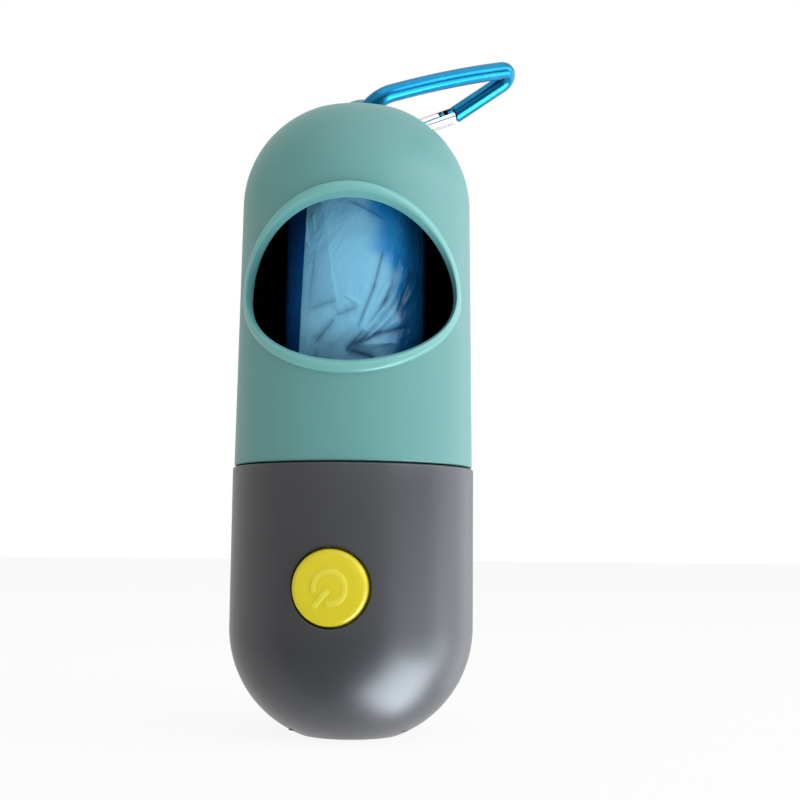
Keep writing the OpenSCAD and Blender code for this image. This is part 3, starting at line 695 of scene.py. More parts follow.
for inner in bm.verts:
    height = inner.co.z - DOME_Z
    in_dome = 0 < height < TOP_DOME_H - UPPER_WALL - NEAR
    if in_dome and hypot(inner.co.x - TOP_ARC_X, height) < TOP_ARC_R - INNER_FROM:
        inner.co.x = TOP_ARC_X + sqrt((TOP_ARC_R - UPPER_WALL) ** 2 - height ** 2)
spin_round(bm)
flat_rim = [
    e for e in bm.edges
    if all(abs(w.co.z - BODY_H) < NEAR and abs(hypot(w.co.x, w.co.y) - TOP_FLAT_R) < 5 * NEAR
           for w in e.verts)
]
bevel_edges(bm, flat_rim, TOP_EDGE_ROUND, 5)
gone = [f for f in bm.faces if in_window(f.calc_center_median(), RIM_MIDDLE)]
bmesh.ops.delete(bm, geom=gone, context="FACES")
# Inner faces take the second material, the near-black painted shade.
for f in bm.faces:
    middle = f.calc_center_median()
    skin = hypot(hypot(middle.x, middle.y) - TOP_ARC_X, max(0, middle.z - DOME_Z)) + TOP_ARC_X
    f.material_index = int(skin < UPPER_TOP_R - INNER_FROM and middle.z < BODY_H - 2 * INNER_FROM)
upper_case = as_object("upper_case", bm, 40)
fit(upper_case, "upper_half", [TEAL, SHADE_LINING], ["upper_shell"])

# %% [markdown]
# ## The window's rim
# The rim is a soft bead that wraps the edge of the opening. One section is drawn and spun into a
# plain ring. Then each vertex is carried to its place on the shell: its angle says where it is on
# the egg, its radius how far across the bead, and its height how far it stands out. Subdivision
# rounds the section.

# %% Window rim
# Share of the way across the rim, and height over the shell.
RIM_SECTION = [
    (-0.3, -2.3), (-0.2, -1.2), (-0.08, -0.2), (0.0, 0.4), (0.14, 0.8), (0.36, 0.93), (0.7, 0.86),
    (0.95, 0.56), (1.0, 0.1), (1.02, -0.4), (0.9, -1.6), (0.7, -2.3), (0.25, -2.4),
]
RIM_STEPS = 200

bm = bmesh.new()
closed_section(bm, [(1 + across, lift) for across, lift in RIM_SECTION])
spin_round(bm, RIM_STEPS)
for v in bm.verts:
    v.co = window_point(atan2(v.co.y, v.co.x), hypot(v.co.x, v.co.y) - 1, v.co.z)
bmesh.ops.recalc_face_normals(bm, faces=bm.faces)
window_rim = as_object("window_rim", bm, 60)
soften = window_rim.modifiers.new("soften", "SUBSURF")
soften.levels = soften.render_levels = 1
# The rim gets the lighter teal, a painted highlight.
fit(window_rim, "upper_half", [RIM_TEAL_PAINTED_LIGHT], ["upper_shell"])

# %% [markdown]
# ## The clip eye
# Behind the dome a thick tab stands up with a hole for the clip. It is a plate with a round end: a
# disc and a foot are drawn in one outline, thickened, and every edge is rounded before the hole is
# cut.

# %% Placing pieces on the eye
EYE_LEAN = 25.0
EYE_STANDOFF = 4.4
EYE_HOLE_R = 3.1
EYE_WALL = 2.4
EYE_T = 3.4
EYE_REACH = TOP_ARC_R + EYE_STANDOFF
EYE_AT = Vector((
    0,
    TOP_ARC_X + EYE_REACH * sin(radians(EYE_LEAN)),
    DOME_Z + EYE_REACH * cos(radians(EYE_LEAN)),
))
AT_EYE = Matrix.Translation(EYE_AT) @ Matrix.Rotation(radians(-EYE_LEAN), 4, "X")

# %% Eye plate
EYE_R = EYE_HOLE_R + EYE_WALL
EYE_SUNK = 1.1
EYE_FOOT = EYE_STANDOFF + EYE_SUNK
EYE_EDGE_ROUND = 0.55

bm = bmesh.new()
left = bm.verts.new((-EYE_R, 0, -EYE_FOOT))
v = line(bm, left, -EYE_R, 0)
v = arc(bm, v, 0, 0, -180, 40)
v = line(bm, v, EYE_R, -EYE_FOOT)
bm.edges.new((v, left))
outline = bmesh.ops.contextual_create(bm, geom=bm.edges[:])["faces"]
bmesh.ops.translate(bm, verts=bm.verts, vec=(0, -EYE_T / 2, 0))
grown = bmesh.ops.extrude_face_region(bm, geom=outline)["geom"]
bmesh.ops.translate(bm, verts=verts_of(grown), vec=(0, EYE_T, 0))
tidy(bm)
face_edges = [e for e in bm.edges if abs(e.verts[0].co.y - e.verts[1].co.y) < NEAR
              and max(w.co.z for w in e.verts) > -EYE_FOOT + NEAR]
bevel_edges(bm, face_edges, EYE_EDGE_ROUND, 4)
clip_eye = as_object("clip_eye", bm)
bm = bmesh.new()
add_rod(bm, EYE_HOLE_R, 2 * EYE_T, Matrix.Rotation(pi / 2, 4, "X"), 64)
cut(clip_eye, [as_object("hole", bm)])
fit(to_body(clip_eye, AT_EYE), "upper_half", [TEAL], ["upper_shell"])

# %% [markdown]
# ## The lower half
# The torch body is a deeper cup with a domed foot. This time both skins are in the profile, because
# the floor carries a round opening for the lens. The screw posts are plain turned rods inside. The
# button's hole is cut with a boolean, and its soft lip is a ring laid into the cut.

# %% Lower shell
BASE_TURN = degrees(asin((BASE_FLAT_R - BASE_ARC_X) / BASE_ARC_R))
LENS_HOLE_R = 8.0
LENS_EDGE_ROUND = 0.15
FLOOR_T = 2.2
BUTTON_Z = 30.0
BUTTON_TURN = 5.6
HOLE_R = 7.7
LIP_W = 0.6
CUT_SHARE = 0.75
CUT_DEPTH = 20

bm = bmesh.new()
inner_arc_r = BASE_ARC_R - LOWER_WALL
inner_turn = degrees(asin((BASE_DOME_H - FLOOR_T) / inner_arc_r))
v = start(bm, LOWER_R - LOWER_WALL, SEAM_Z - SEAM_GAP)
v = line(bm, v, LOWER_R - SEAM_ROUND, SEAM_Z - SEAM_GAP)
v = arc(bm, v, LOWER_R - SEAM_ROUND, SEAM_Z - SEAM_GAP - SEAM_ROUND, -90, 4)
v = line(bm, v, LOWER_R, BASE_DOME_H, 6)
v = arc(bm, v, BASE_ARC_X, BASE_DOME_H, BASE_TURN - 90, 36)
v = line(bm, v, LENS_HOLE_R + LENS_EDGE_ROUND, 0, 3)
v = arc(bm, v, LENS_HOLE_R + LENS_EDGE_ROUND, LENS_EDGE_ROUND, -90, 3)
v = line(bm, v, LENS_HOLE_R, FLOOR_T)
v = line(bm, v, BASE_ARC_X + inner_arc_r * cos(radians(inner_turn)), FLOOR_T, 3)
v = arc(bm, v, BASE_ARC_X, BASE_DOME_H, inner_turn, 20)
v = line(bm, v, LOWER_R - LOWER_WALL, SEAM_Z - SEAM_GAP, 4)
spin_round(bm)
print("lower profile closes:", len([e for e in bm.edges if e.is_boundary]), "open edges")
lower_case = as_object("lower_case", bm, 40)


def at_button(point):
    """From the button's own axes, Z outwards and Y up, to the body's."""
    place = Matrix.Rotation(radians(-BUTTON_TURN), 4, "Z")
    return place @ Vector((point.x, -point.z, BUTTON_Z + point.y))


bm = bmesh.new()
add_rod(bm, HOLE_R + LIP_W * CUT_SHARE, CUT_DEPTH, Matrix.Translation((0, 0, LOWER_R)), 96)
carried(bm, at_button)
cut(lower_case, [as_object("hole", bm)])
fit(lower_case, "lower_half", [GREY], ["lower_shell"])

# %% Lip of the button hole
# Share of the way across the lip, and height over the wall.
LIP_SECTION = [
    (0.0, -2.0), (0.0, -0.42), (0.1, -0.16), (0.34, -0.02), (0.7, 0.0), (1.0, -0.03), (1.0, -2.0),
]

bm = bmesh.new()
closed_section(bm, [(HOLE_R + LIP_W * across, lift) for across, lift in LIP_SECTION])
spin_round(bm, 160)


def on_wall(co):
    """Lays a flat ring onto the round wall of the lower half."""
    r = LOWER_R + co.z
    return at_button(Vector((co.x, co.y, sqrt(r * r - co.x * co.x))))


carried(bm, on_wall)
hole_lip = as_object("hole_lip", bm, 50)
fit(hole_lip, "lower_half", [GREY], ["lower_shell"])

# %% Posts inside the lower half
SPOKES = (90, 210, 330)
# Distance from the axis, radius, foot and head.
BOARD_POST = (12.0, 1.5, 1.2, 12.6)
CAP_POST = (17.2, 2.6, 21.5, 46.0)

bm = bmesh.new()
for turn in SPOKES:
    for out, radius, foot, head in (BOARD_POST, CAP_POST):
        at = Matrix.Rotation(radians(turn), 4, "Z") @ Matrix.Translation((out, 0, (foot + head) / 2))
        add_rod(bm, radius, head - foot, at, 32)
posts = as_object("screw_posts", bm)
fit(posts, "lower_half", [GREY], ["lower_shell"])

# %% [markdown]
# ## The power button
# The button is a shallow cup with a crowned face, a well rounded edge and a slight dish for the
# fingertip. Its profile is drawn along its own axis, spun, and then laid on the body. The power sign
# is a low ridge: one small section is spun most of the way round for the ring and pulled straight for
# the bar, and both are then lifted onto the dished face.

# %% Power button
FACE_R = 26.2
BUTTON_R = 7.3
BUTTON_EDGE = 1.15
BUTTON_CROWN = 0.5
FLANGE_R = 8.5
FLANGE_TOP = 21.23
FLANGE_T = 1.0
CUP_R = 5.7
CUP_TOP = 23.7
FLAT_R = BUTTON_R - BUTTON_EDGE
CROWN_R = (FLAT_R ** 2 + BUTTON_CROWN ** 2) / (2 * BUTTON_CROWN)
EDGE_Z = FACE_R - BUTTON_CROWN
DISH_R = 3.9
DISH_EDGE = 1.9
DISH_DEPTH = 0.16


def dish(x, y):
    """How far the dish lowers the face at a point."""
    return DISH_DEPTH * (1 - rise_from(hypot(x, y), DISH_R, DISH_EDGE))


bm = bmesh.new()
v = start(bm, 0, FACE_R)
v = arc(bm, v, 0, FACE_R - CROWN_R, -degrees(asin(FLAT_R / CROWN_R)), 40)
v = arc(bm, v, FLAT_R, EDGE_Z - BUTTON_EDGE, -90, 10)
v = line(bm, v, BUTTON_R, FLANGE_TOP)
v = line(bm, v, FLANGE_R, FLANGE_TOP)
v = line(bm, v, FLANGE_R, FLANGE_TOP - FLANGE_T)
v = line(bm, v, CUP_R, FLANGE_TOP - FLANGE_T)
v = line(bm, v, CUP_R, CUP_TOP)
v = line(bm, v, 0, CUP_TOP)
for v in bm.verts:
    if v.co.z > EDGE_Z - NEAR:
        v.co.z -= dish(v.co.x, v.co.y)
spin_round(bm, 160)
carried(bm, at_button)
button_cap = as_object("button_cap", bm, 50)
fit(button_cap, "button", [YELLOW], ["power_button"])

# %% Power sign
SIGN_R = 3.05
SIGN_GAP = 64.0
SIGN_TURN = 230.0
SIGN_BAR = (0.35, 4.7)
SIGN_BAR_STEPS = 12
# Distance from the ridge's middle, and height over the face.
SIGN_SECTION = [
    (-0.62, -0.35), (-0.6, -0.01), (-0.42, 0.08), (0, 0.1), (0.42, 0.08), (0.6, -0.01), (0.62, -0.35),
]

bm = bmesh.new()
gap_end = Matrix.Rotation(radians(SIGN_TURN + SIGN_GAP / 2), 4, "Z")
ring = closed_section(bm, [(SIGN_R + x, z) for x, z in SIGN_SECTION], gap_end)
bmesh.ops.spin(bm, geom=ring, cent=(0, 0, 0), axis=(0, 0, 1), angle=radians(360 - SIGN_GAP), steps=72)
along = Matrix.Rotation(radians(SIGN_TURN), 4, "Z")
bar_start = along @ Matrix.Translation((SIGN_BAR[0], 0, 0)) @ Matrix.Rotation(pi / 2, 4, "Z")
bar = closed_section(bm, SIGN_SECTION, bar_start)
step = along @ Vector(((SIGN_BAR[1] - SIGN_BAR[0]) / SIGN_BAR_STEPS, 0, 0))
for _ in range(SIGN_BAR_STEPS):
    bar = bmesh.ops.extrude_edge_only(bm, edges=edges_of(bar))["geom"]
    bmesh.ops.translate(bm, verts=verts_of(bar), vec=step)
close_ends(bm)
bmesh.ops.recalc_face_normals(bm, faces=bm.faces)
for v in bm.verts:
    x, y, _ = v.co
    v.co.z += FACE_R - CROWN_R + sqrt(CROWN_R ** 2 - x ** 2 - y ** 2) - dish(x, y)
carried(bm, at_button)
power_sign = as_object("power_sign", bm, 60)
fit(power_sign, "button", [YELLOW_RAISED], ["power_button"])

# %% [markdown]
# ## The button's spring
# A spring wound on the switch's stem pushes the button out. Its solid already has the true shape,
# but it has to close up as the button goes in, and a solid can't. So a copy of it, with a mesh of
# its own, rides on the button.

bm = bmesh.new()
bm.from_mesh(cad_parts["button_spring"].data)
bmesh.ops.scale(bm, vec=(1 / MM, 1 / MM, 1 / MM), verts=bm.verts)
tidy(bm)
button_coil = as_object("button_coil", bm, 50)
fit(button_coil, "button", [WIRE], ["button_spring"])
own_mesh(button_coil)

# %% [markdown]
# ## Film
# The bags are thin blue polythene. Wound tight they read as a deep, glossy blue; loose and crumpled
# they scatter light and turn pale. One group gives the crumple its bump and gloss, and a mask says
# where the film clings to the roll. A second mask mixes in a darker colour as painted shade. On the
# loose end both masks are stored on the mesh, because they follow the folds.

# %% Film group
HAZE_SHARE = 0.55
GLOSS_DRIFT = 0.14
FILM_SPECULAR = 0.25
# Colour of the painted shade in creases and on the darker parts of the loose film.
PAINTED_SHADE_COLOUR = colour(10, 64, 102)


def crumpled_film():
    """Crumple, gloss, the change from clinging to loose film, and painted shade towards a darker colour."""
    group, given = group_tree(
        "crumpled film",
        {"Loose": 0.0, "Painted shade": 0.0, "Crumple": 0.3, "Gloss": 0.25},
        {"Clinging": (0, 0.2, 0.5, 1), "Free": (0.3, 0.5, 0.65, 1), "Painted shade colour": PAINTED_SHADE_COLOUR},
    )
    haze = add_noise(group, scale=130.0, detail=5.0, stretch=(1, 1, 0.5))
    clamped = group.nodes.new("ShaderNodeClamp")
    group.links.new(add_drift(group, given["Loose"], haze, HAZE_SHARE), clamped.inputs["Value"])
    tint = add_blend(group, clamped.outputs["Result"], given["Clinging"], given["Free"])
    # Painted shade: the mask darkens the colour towards the shade colour.
    tint = add_blend(group, given["Painted shade"], tint, given["Painted shade colour"])
    rough = add_drift(group, given["Gloss"], haze, GLOSS_DRIFT)
    streaks = add_noise(group, scale=620.0, detail=4.0, stretch=(1, 1, 0.35))
    return put_out(group, tint, rough, add_bump(group, streaks, given["Crumple"], metres=0.0003))


FILM = crumpled_film()


def film(name, clinging, free, masks, crumple, gloss):
    """Polythene film. Each of its masks is a plain number or the name of one of the mesh's own."""
    values = {"Crumple": crumple, "Gloss": gloss, "Clinging": clinging, "Free": free, "Painted shade colour": PAINTED_SHADE_COLOUR}
    paint, inputs = dressed(name, FILM, {**values, **masks})
    inputs["Specular IOR Level"].default_value = FILM_SPECULAR
    return paint


ROLL_FILM = film("wound_film", colour(8, 64, 124), colour(16, 96, 168), {"Loose": 0.3},
                 crumple=0.25, gloss=0.24)
LOOSE_FILM = film("loose_film", colour(2, 132, 208), colour(130, 198, 230),
                  {"Loose": "loose", "Painted shade": "painted_shade"}, crumple=0.32, gloss=0.26)
print("film materials:", ROLL_FILM.name, LOOSE_FILM.name)

# %% [markdown]
# ## The roll of bags
# The wound roll is a thick tube with soft rims. Film never winds evenly, so its side is pushed in
# here and there by slow noise, in bands that run up the roll, and its ends show rings of layers.

# %% Wound roll
ROLL_Z = 48.15
ROLL_H = 63.0
ROLL_R = 14.7
CORE_R = 7.0
ROLL_ROUND = 0.5
ROLL_FIT = 0.02
ROLL_LIFT = 0.05
END_RINGS = 14
SKIN_DEPTH = 0.2
DENT = 0.28
DENT_SIZE = (5, 5, 26)
DENT_SEED = Vector((3, 1, 2))
END_DIP = 0.22
RING_PITCH = 2.3
ROLL_FOOT = ROLL_Z + ROLL_LIFT
ROLL_HEAD = ROLL_Z + ROLL_H

bm = bmesh.new()
v = first = start(bm, CORE_R + ROLL_FIT, ROLL_FOOT)
v = line(bm, v, ROLL_R - ROLL_ROUND, ROLL_FOOT, END_RINGS)
v = arc(bm, v, ROLL_R - ROLL_ROUND, ROLL_FOOT + ROLL_ROUND, 90, 4)
v = line(bm, v, ROLL_R, ROLL_HEAD - ROLL_ROUND, 60)
v = arc(bm, v, ROLL_R - ROLL_ROUND, ROLL_HEAD - ROLL_ROUND, 90, 4)
v = line(bm, v, CORE_R + ROLL_FIT, ROLL_HEAD, END_RINGS)
bm.edges.new((v, first))
spin_round(bm, 180)
for v in bm.verts:
    r = hypot(v.co.x, v.co.y)
    if r > ROLL_R - SKIN_DEPTH:
        place = Vector([c / size for c, size in zip(v.co, DENT_SIZE)])
        v.co.xy *= (r - DENT * max(0, noise.noise(place + DENT_SEED))) / r
    elif abs(v.co.z - ROLL_FOOT) < NEAR or abs(v.co.z - ROLL_HEAD) < NEAR:
        dip = END_DIP * abs(noise.noise(Vector((r * RING_PITCH, 0.3 * v.co.x / r, 0.3 * v.co.y / r))))
        v.co.z += dip if v.co.z < ROLL_FOOT + 1 else -dip
bmesh.ops.recalc_face_normals(bm, faces=bm.faces)
wound_roll = as_object("wound_roll", bm, 50)
fit(wound_roll, "roll", [ROLL_FILM], ["bag_roll"])

# %% [markdown]
# ## The loose end of the first bag
# The end that hangs free in front of the roll is one thin sheet. It starts as a flat grid. Each point
# is given as an angle round the roll, in degrees, and a height, laid round the roll and lifted. Four
# things lift it: folds, which are single creases between two points; steps, where one layer ends over
# another; strands, which are long folds that fan out from a pinch; and a crumple of fine noise. Two
# masks on the mesh say how loose the film is and how much painted shade it gets, in its creases, low
# down and towards the right edge, so colour and shape agree. A last step gives the sheet its thickness.

# %% Folds of the loose sheet
SHEET_R = 14.92
SHEET_LOW = 49.6
SHEET_HIGH = 109.9
SHEET_FROM = -41.3
SHEET_TO = 74.0
FOLD_R = 15.6
ARC_MM = radians(1) * FOLD_R
STEP_FADE = 4
PINCH = (-12.0, 75.0)
FAN_CURVE = 1.5
COARSE_RISE = 0.1
FINE_RISE = 0.06
# Each fold: both ends, half its width, its rise, and how much painted shade lies along it.
FOLDS = [
    ((24.4, 97.0), (17.0, 89.0), 0.28, -0.22, 0.75),
    ((18.0, 90.0), (5.6, 81.2), 0.28, -0.22, 0.75),
    ((22.6, 97.5), (15.4, 89.4), 0.3, 0.2, 0.0),
    ((-10.5, 86.7), (-31.8, 85.3), 0.6, -0.2, 0.4),
    ((4.4, 85.2), (-11.4, 83.5), 0.6, -0.25, 0.5),
    ((-11.4, 82.9), (-27.3, 78.2), 0.5, -0.25, 0.55),
    ((9.9, 80.6), (-2.5, 76.6), 0.6, -0.25, 0.5),
    ((51.5, 82.2), (18.4, 80.0), 0.55, -0.35, 0.9),
    ((22.0, 80.2), (1.6, 77.4), 0.5, -0.35, 0.8),
    ((-2.5, 76.6), (18.5, 75.0), 0.6, -0.3, 0.8),
    ((40.0, 97.0), (24.0, 84.5), 0.7, -0.2, 0.4),
    ((52.0, 93.5), (36.0, 85.0), 0.8, -0.2, 0.5),
    ((62.0, 91.0), (40.0, 83.6), 0.9, -0.2, 0.5),
    ((30.0, 88.0), (12.0, 81.5), 0.5, -0.2, 0.35),
    ((34.0, 97.0), (18.0, 84.0), 0.5, 0.3, 0.0),
    ((43.2, 95.0), (29.5, 85.6), 0.5, 0.35, 0.0),
    ((58.0, 92.6), (42.2, 86.0), 0.6, 0.35, 0.0),
    ((26.0, 85.5), (8.0, 80.0), 0.5, 0.25, 0.0),
    ((39.9, 78.6), (6.0, 77.6), 0.9, 0.5, 0.0),
    ((-8.0, 84.6), (-28.0, 79.6), 0.7, 0.3, 0.0),
    ((6.0, 83.0), (-14.0, 77.5), 0.7, 0.35, 0.0),
    ((-1.0, 86.2), (-9.5, 84.6), 0.5, 0.25, 0.0),
    ((-4.1, 87.7), (7.0, 85.8), 0.25, 0.35, 0.0),
    ((-34.5, 84.0), (-29.0, 97.0), 0.5, -0.12, 0.25),
    ((-36.5, 105.0), (-35.6, 99.0), 0.25, 0.4, 0.0),
    ((-31.0, 104.8), (-29.6, 101.4), 0.22, 0.35, 0.0),
    ((-34.0, 103.6), (-32.0, 102.0), 0.22, 0.35, 0.0),
    ((-37.0, 100.6), (-34.0, 98.6), 0.22, 0.3, 0.0),
    ((-2.0, 70.0), (44.0, 66.0), 0.9, 0.5, 0.0),
    ((-28.0, 60.0), (20.0, 72.0), 0.9, 0.5, 0.0),
    ((0.0, 56.0), (52.0, 70.0), 0.9, 0.5, 0.0),
]
# Each step: both ends, half its width, and its rise.
STEPS = [
    ((-16.5, 98.0), (-13.0, 91.0), 0.5, 0.12),
    ((-13.6, 92.5), (-9.0, 86.0), 0.4, 0.15),
    ((-1.0, 107.0), (26.4, 103.4), 0.5, 0.3),
]


def along_and_off(point, first, last):
    """Where a point lies along a fold, from 0 to 1, and how far off it, in millimetres."""
    px, pz = point[0] * ARC_MM, point[1]
    ax, az, bx, bz = first[0] * ARC_MM, first[1], last[0] * ARC_MM, last[1]
    length = hypot(bx - ax, bz - az)
    ux, uz = (bx - ax) / length, (bz - az) / length
    return ((px - ax) * ux + (pz - az) * uz) / length, (px - ax) * uz - (pz - az) * ux


def tapered(along):
    """1 along a fold, falling off towards its ends."""
    return rise_from(along, -0.12, 0.3) * fall_to(along, 1.12, 0.3)


def folds(point):
    """Height of the folds at a point, in millimetres, and how much painted shade they put there."""
    height = painted_shade = 0.0
    for first, last, width, rise, dark in FOLDS:
        along, off = along_and_off(point, first, last)
        near = tapered(along) * exp(-abs(off) / width)
        height += rise * near
        painted_shade += dark * near
    for first, last, width, rise in STEPS:
        along, off = along_and_off(point, first, last)
        height += rise * tapered(along) * (soft_step(off / width + 0.5) - 0.5) * exp(-abs(off) / STEP_FADE)
    return height, painted_shade


# %% Strands, crumple and masks of the loose sheet
def crumple(point):
    """Small crumples all over."""
    s, z = point[0] * ARC_MM, point[1]
    coarse = 1 - abs(noise.noise(Vector((s * 0.32 - z * 0.12, z * 0.2, 4.0)))) * 2
    fine = 1 - abs(noise.noise(Vector((s * 0.8 - z * 0.35, z * 0.5, 9.0)))) * 2
    return COARSE_RISE * coarse + FINE_RISE * fine


def strands(point):
    """Long folds that fan out from a pinch low on the left, and how strong they are there.

    Each strand keeps one value of height over reach to the power FAN_CURVE, so it leaves the pinch
    flat and gets steeper towards the right.
    """
    reach = (point[0] - PINCH[0]) * ARC_MM
    height = point[1] - PINCH[1]
    if reach < 0.5 or height < 0.3:
        return 0.0, 0.0
    family = log(height) - FAN_CURVE * log(reach)
    ridge = 1 - 2.8 * abs(noise.noise(Vector((family * 3.4, reach * 0.09, 2.0))))
    thin = 1 - 2.8 * abs(noise.noise(Vector((family * 8.5, reach * 0.16, 7.0))))
    strength = rise_from(reach, 2, 5) * fall_to(point[1], PINCH[1] + 6 + reach * 1.25, 7)
    strength *= rise_from(height, 0.6, 3) * (1 - 0.75 * rise_from(point[0], 28, 20))
    return 0.7 * ridge + 0.3 * thin, strength


def band_share(point):
    """1 on the band along the sheet's left edge, which ends over the first step."""
    turn, z = point
    return fall_to(turn, -18 + (101 - z) * 0.6, 2) * rise_from(z, 84, 4)


def looseness(point):
    """How loose the film is: 0 where it clings to the roll, 1 where it hangs free."""
    turn, z = point
    wisp = 14 * noise.noise(Vector((turn * 0.05, z * 0.22, 1.0)))
    begin = 2 + 12 * fall_to(z, 102, 5) + 8 * fall_to(z, 97, 5)
    cling = rise_from(turn + wisp, begin, 26)
    top = rise_from(z, 98.5, 4) * rise_from(turn + wisp, -12, 45)
    return 0.98 - 0.95 * cling - 0.8 * top * (1 - cling) - 0.08 * band_share(point)


def painted_shade_at(point):
    """Painted shade on the film: low down, to the right, a little on the band along the left edge, and
    darkest at the right edge, which lies in the shell's shadow.
    """
    turn, z = point
    right = rise_from(turn, 14, 30) * fall_to(z, 98, 12)
    edge = rise_from(turn, 32, 22)
    low = fall_to(z, 83, 8) * rise_from(turn, -46, 26)
    return 0.4 * right + 0.52 * low + 0.12 * band_share(point) + 0.75 * edge


# %% Loose sheet
SHEET_LEAN = 0.2
LEAN_ABOUT = 95
SHEET_OFF = 0.55
SHEET_CLOSEST = 0.1
SHEET_FURTHEST = 1.75
STRAND_RISE = 0.22
# STRAND_SHADE is how much painted shade the valleys between strands take.
STRAND_SHADE = 0.3
HEM_RISE = 0.3
HEM_IN = 1.6
HEM_HALF = 1.2
# The most painted shade that the film takes.
DARKEST = 0.92
SHEET_COLUMNS = 200
SHEET_ROWS = 236
SHEET_FLAT = (0.0335, 0.0635)
SHEET_T = 0.05

bm = bmesh.new()
bmesh.ops.create_grid(bm, x_segments=SHEET_COLUMNS, y_segments=SHEET_ROWS, size=0.5)
loose = bm.verts.layers.float.new("loose")
painted_shade = bm.verts.layers.float.new("painted_shade")
for v in bm.verts:
    z = SHEET_LOW + (v.co.y + 0.5) * (SHEET_HIGH - SHEET_LOW)
    left = SHEET_FROM - SHEET_LEAN * (LEAN_ABOUT - z)
    turn = left + (v.co.x + 0.5) * (SHEET_TO - left)
    point = (turn, z)
    rim = rise_from(turn, left, 4) * fall_to(turn, SHEET_TO, 8)
    height, dark = folds(point)
    strand, strength = strands(point)
    rise = SHEET_OFF + height + crumple(point) + STRAND_RISE * strand * strength
    hem = HEM_RISE * exp(-((turn - left - HEM_IN) / HEM_HALF) ** 2)
    r = SHEET_R + min(rim * max(SHEET_CLOSEST, rise) + hem, SHEET_FURTHEST)
    v[loose] = looseness(point)
    # Painted shade from the folds, from the place on the sheet and from the valleys between strands.
    dark += painted_shade_at(point) + STRAND_SHADE * strength * (0.3 - strand)
    v[painted_shade] = min(DARKEST, max(0, dark))
    v.co = (r * sin(radians(turn)), -r * cos(radians(turn)), z)
bmesh.ops.recalc_face_normals(bm, faces=bm.faces)
sheet_area = sum(f.calc_area() for f in bm.faces) * MM * MM
flat_area = SHEET_FLAT[0] * SHEET_FLAT[1]
print("sheet area", round(sheet_area * 1e4, 2), "cm2, flat", round(flat_area * 1e4, 2))
loose_end = as_object("loose_end", bm, 180)
skin = loose_end.modifiers.new("skin", "SOLIDIFY")
skin.thickness = SHEET_T * MM
skin.offset = 0
fit(loose_end, "roll", [LOOSE_FILM], ["loose_bag"])

# %% [markdown]
# ## The clip
# The clip is a bent aluminium rod, closed by a sprung gate. Its line lies in one plane: a round end
# that hangs in the eye, a slightly arched spine, a tight bend at the tip and a straight nose arm. A
# ring of vertices is spun round each bend and pushed along each straight, as a pipe bender would do
# it. Both ends of the rod are milled down to a tongue that the gate's forks straddle.

# %% Line of the clip
ROD_R = 2.0
CLIP_LEN = 38.2
END_BEND = 6.8
TIP_BEND = 2.35
SPINE_R = 180.0
ARM_ANGLE = 31.0
ARM_LEN = 13.0
STUB_LEN = 1.4
HINGE_REACH = 2.4
TONGUE_T = 1.3
TONGUE_LEN = 3.6
FORK_GAP = 0.15
CLIP_SWING = 28.5
CLIP_TWIST = 13.0
ROD_SIDES = 32
ROD_END_ROUND = 0.4
LATCH_BACK = 2.2
ARCH = 2 * degrees(asin((CLIP_LEN - END_BEND - TIP_BEND) / 2 / SPINE_R))
SWING = Matrix.Rotation(radians(-CLIP_SWING), 4, "Y")
IN_LOOP = AT_EYE @ SWING @ Matrix.Rotation(radians(CLIP_TWIST), 4, "Z")


def on_line(x, y, heading=0.0):
    """Place of a point of the clip's plane, with X along the heading."""
    return Matrix.Translation((x, y, 0)) @ Matrix.Rotation(heading, 4, "Z")


def rod_ring(bm, x, y, heading):
    """A ring of the rod at a point of its line, square to its heading."""
    place = on_line(x, y, heading) @ Matrix.Rotation(pi / 2, 4, "Y")
    verts = bmesh.ops.create_circle(bm, segments=ROD_SIDES, radius=ROD_R, matrix=place)["verts"]
    return list({e for v in verts for e in v.link_edges})


def push(bm, ring, at, length):
    """Carries the ring straight on."""
    x, y, heading = at
    step = Vector((cos(heading), sin(heading), 0)) * length
    made = bmesh.ops.extrude_edge_only(bm, edges=ring)["geom"]
    bmesh.ops.translate(bm, verts=verts_of(made), vec=step)
    return edges_of(made), (x + step.x, y + step.y, heading)


def bend(bm, ring, at, radius, turn, steps):
    """Carries the ring round a bend to the left."""
    x, y, heading = at
    cx, cy = x - radius * sin(heading), y + radius * cos(heading)
    verts = list({v for e in ring for v in e.verts})
    made = bmesh.ops.spin(bm, geom=verts + ring, cent=(cx, cy, 0), axis=(0, 0, 1),
                          angle=radians(turn), steps=steps)["geom_last"]
    heading += radians(turn)
    return edges_of(made), (cx + radius * sin(heading), cy - radius * cos(heading), heading)


# %% Clip rod
bm = bmesh.new()
at = (END_BEND + STUB_LEN, END_BEND, pi)
rod_start = at
ring = rod_ring(bm, *at)
ring, at = push(bm, ring, at, STUB_LEN)
ring, at = bend(bm, ring, at, END_BEND, 180 - ARCH / 2, 44)
ring, at = bend(bm, ring, at, SPINE_R, ARCH, 12)
ring, at = bend(bm, ring, at, TIP_BEND, 180 - ARM_ANGLE - ARCH / 2, 28)
ring, at = push(bm, ring, at, ARM_LEN)
rod_nose = at
close_ends(bm)
tidy(bm)
ends = [f for f in bm.faces if len(f.verts) == ROD_SIDES]
bevel_edges(bm, {e for f in ends for e in f.edges}, ROD_END_ROUND, 3)
clip_rod = as_object("clip_rod", bm, 40)

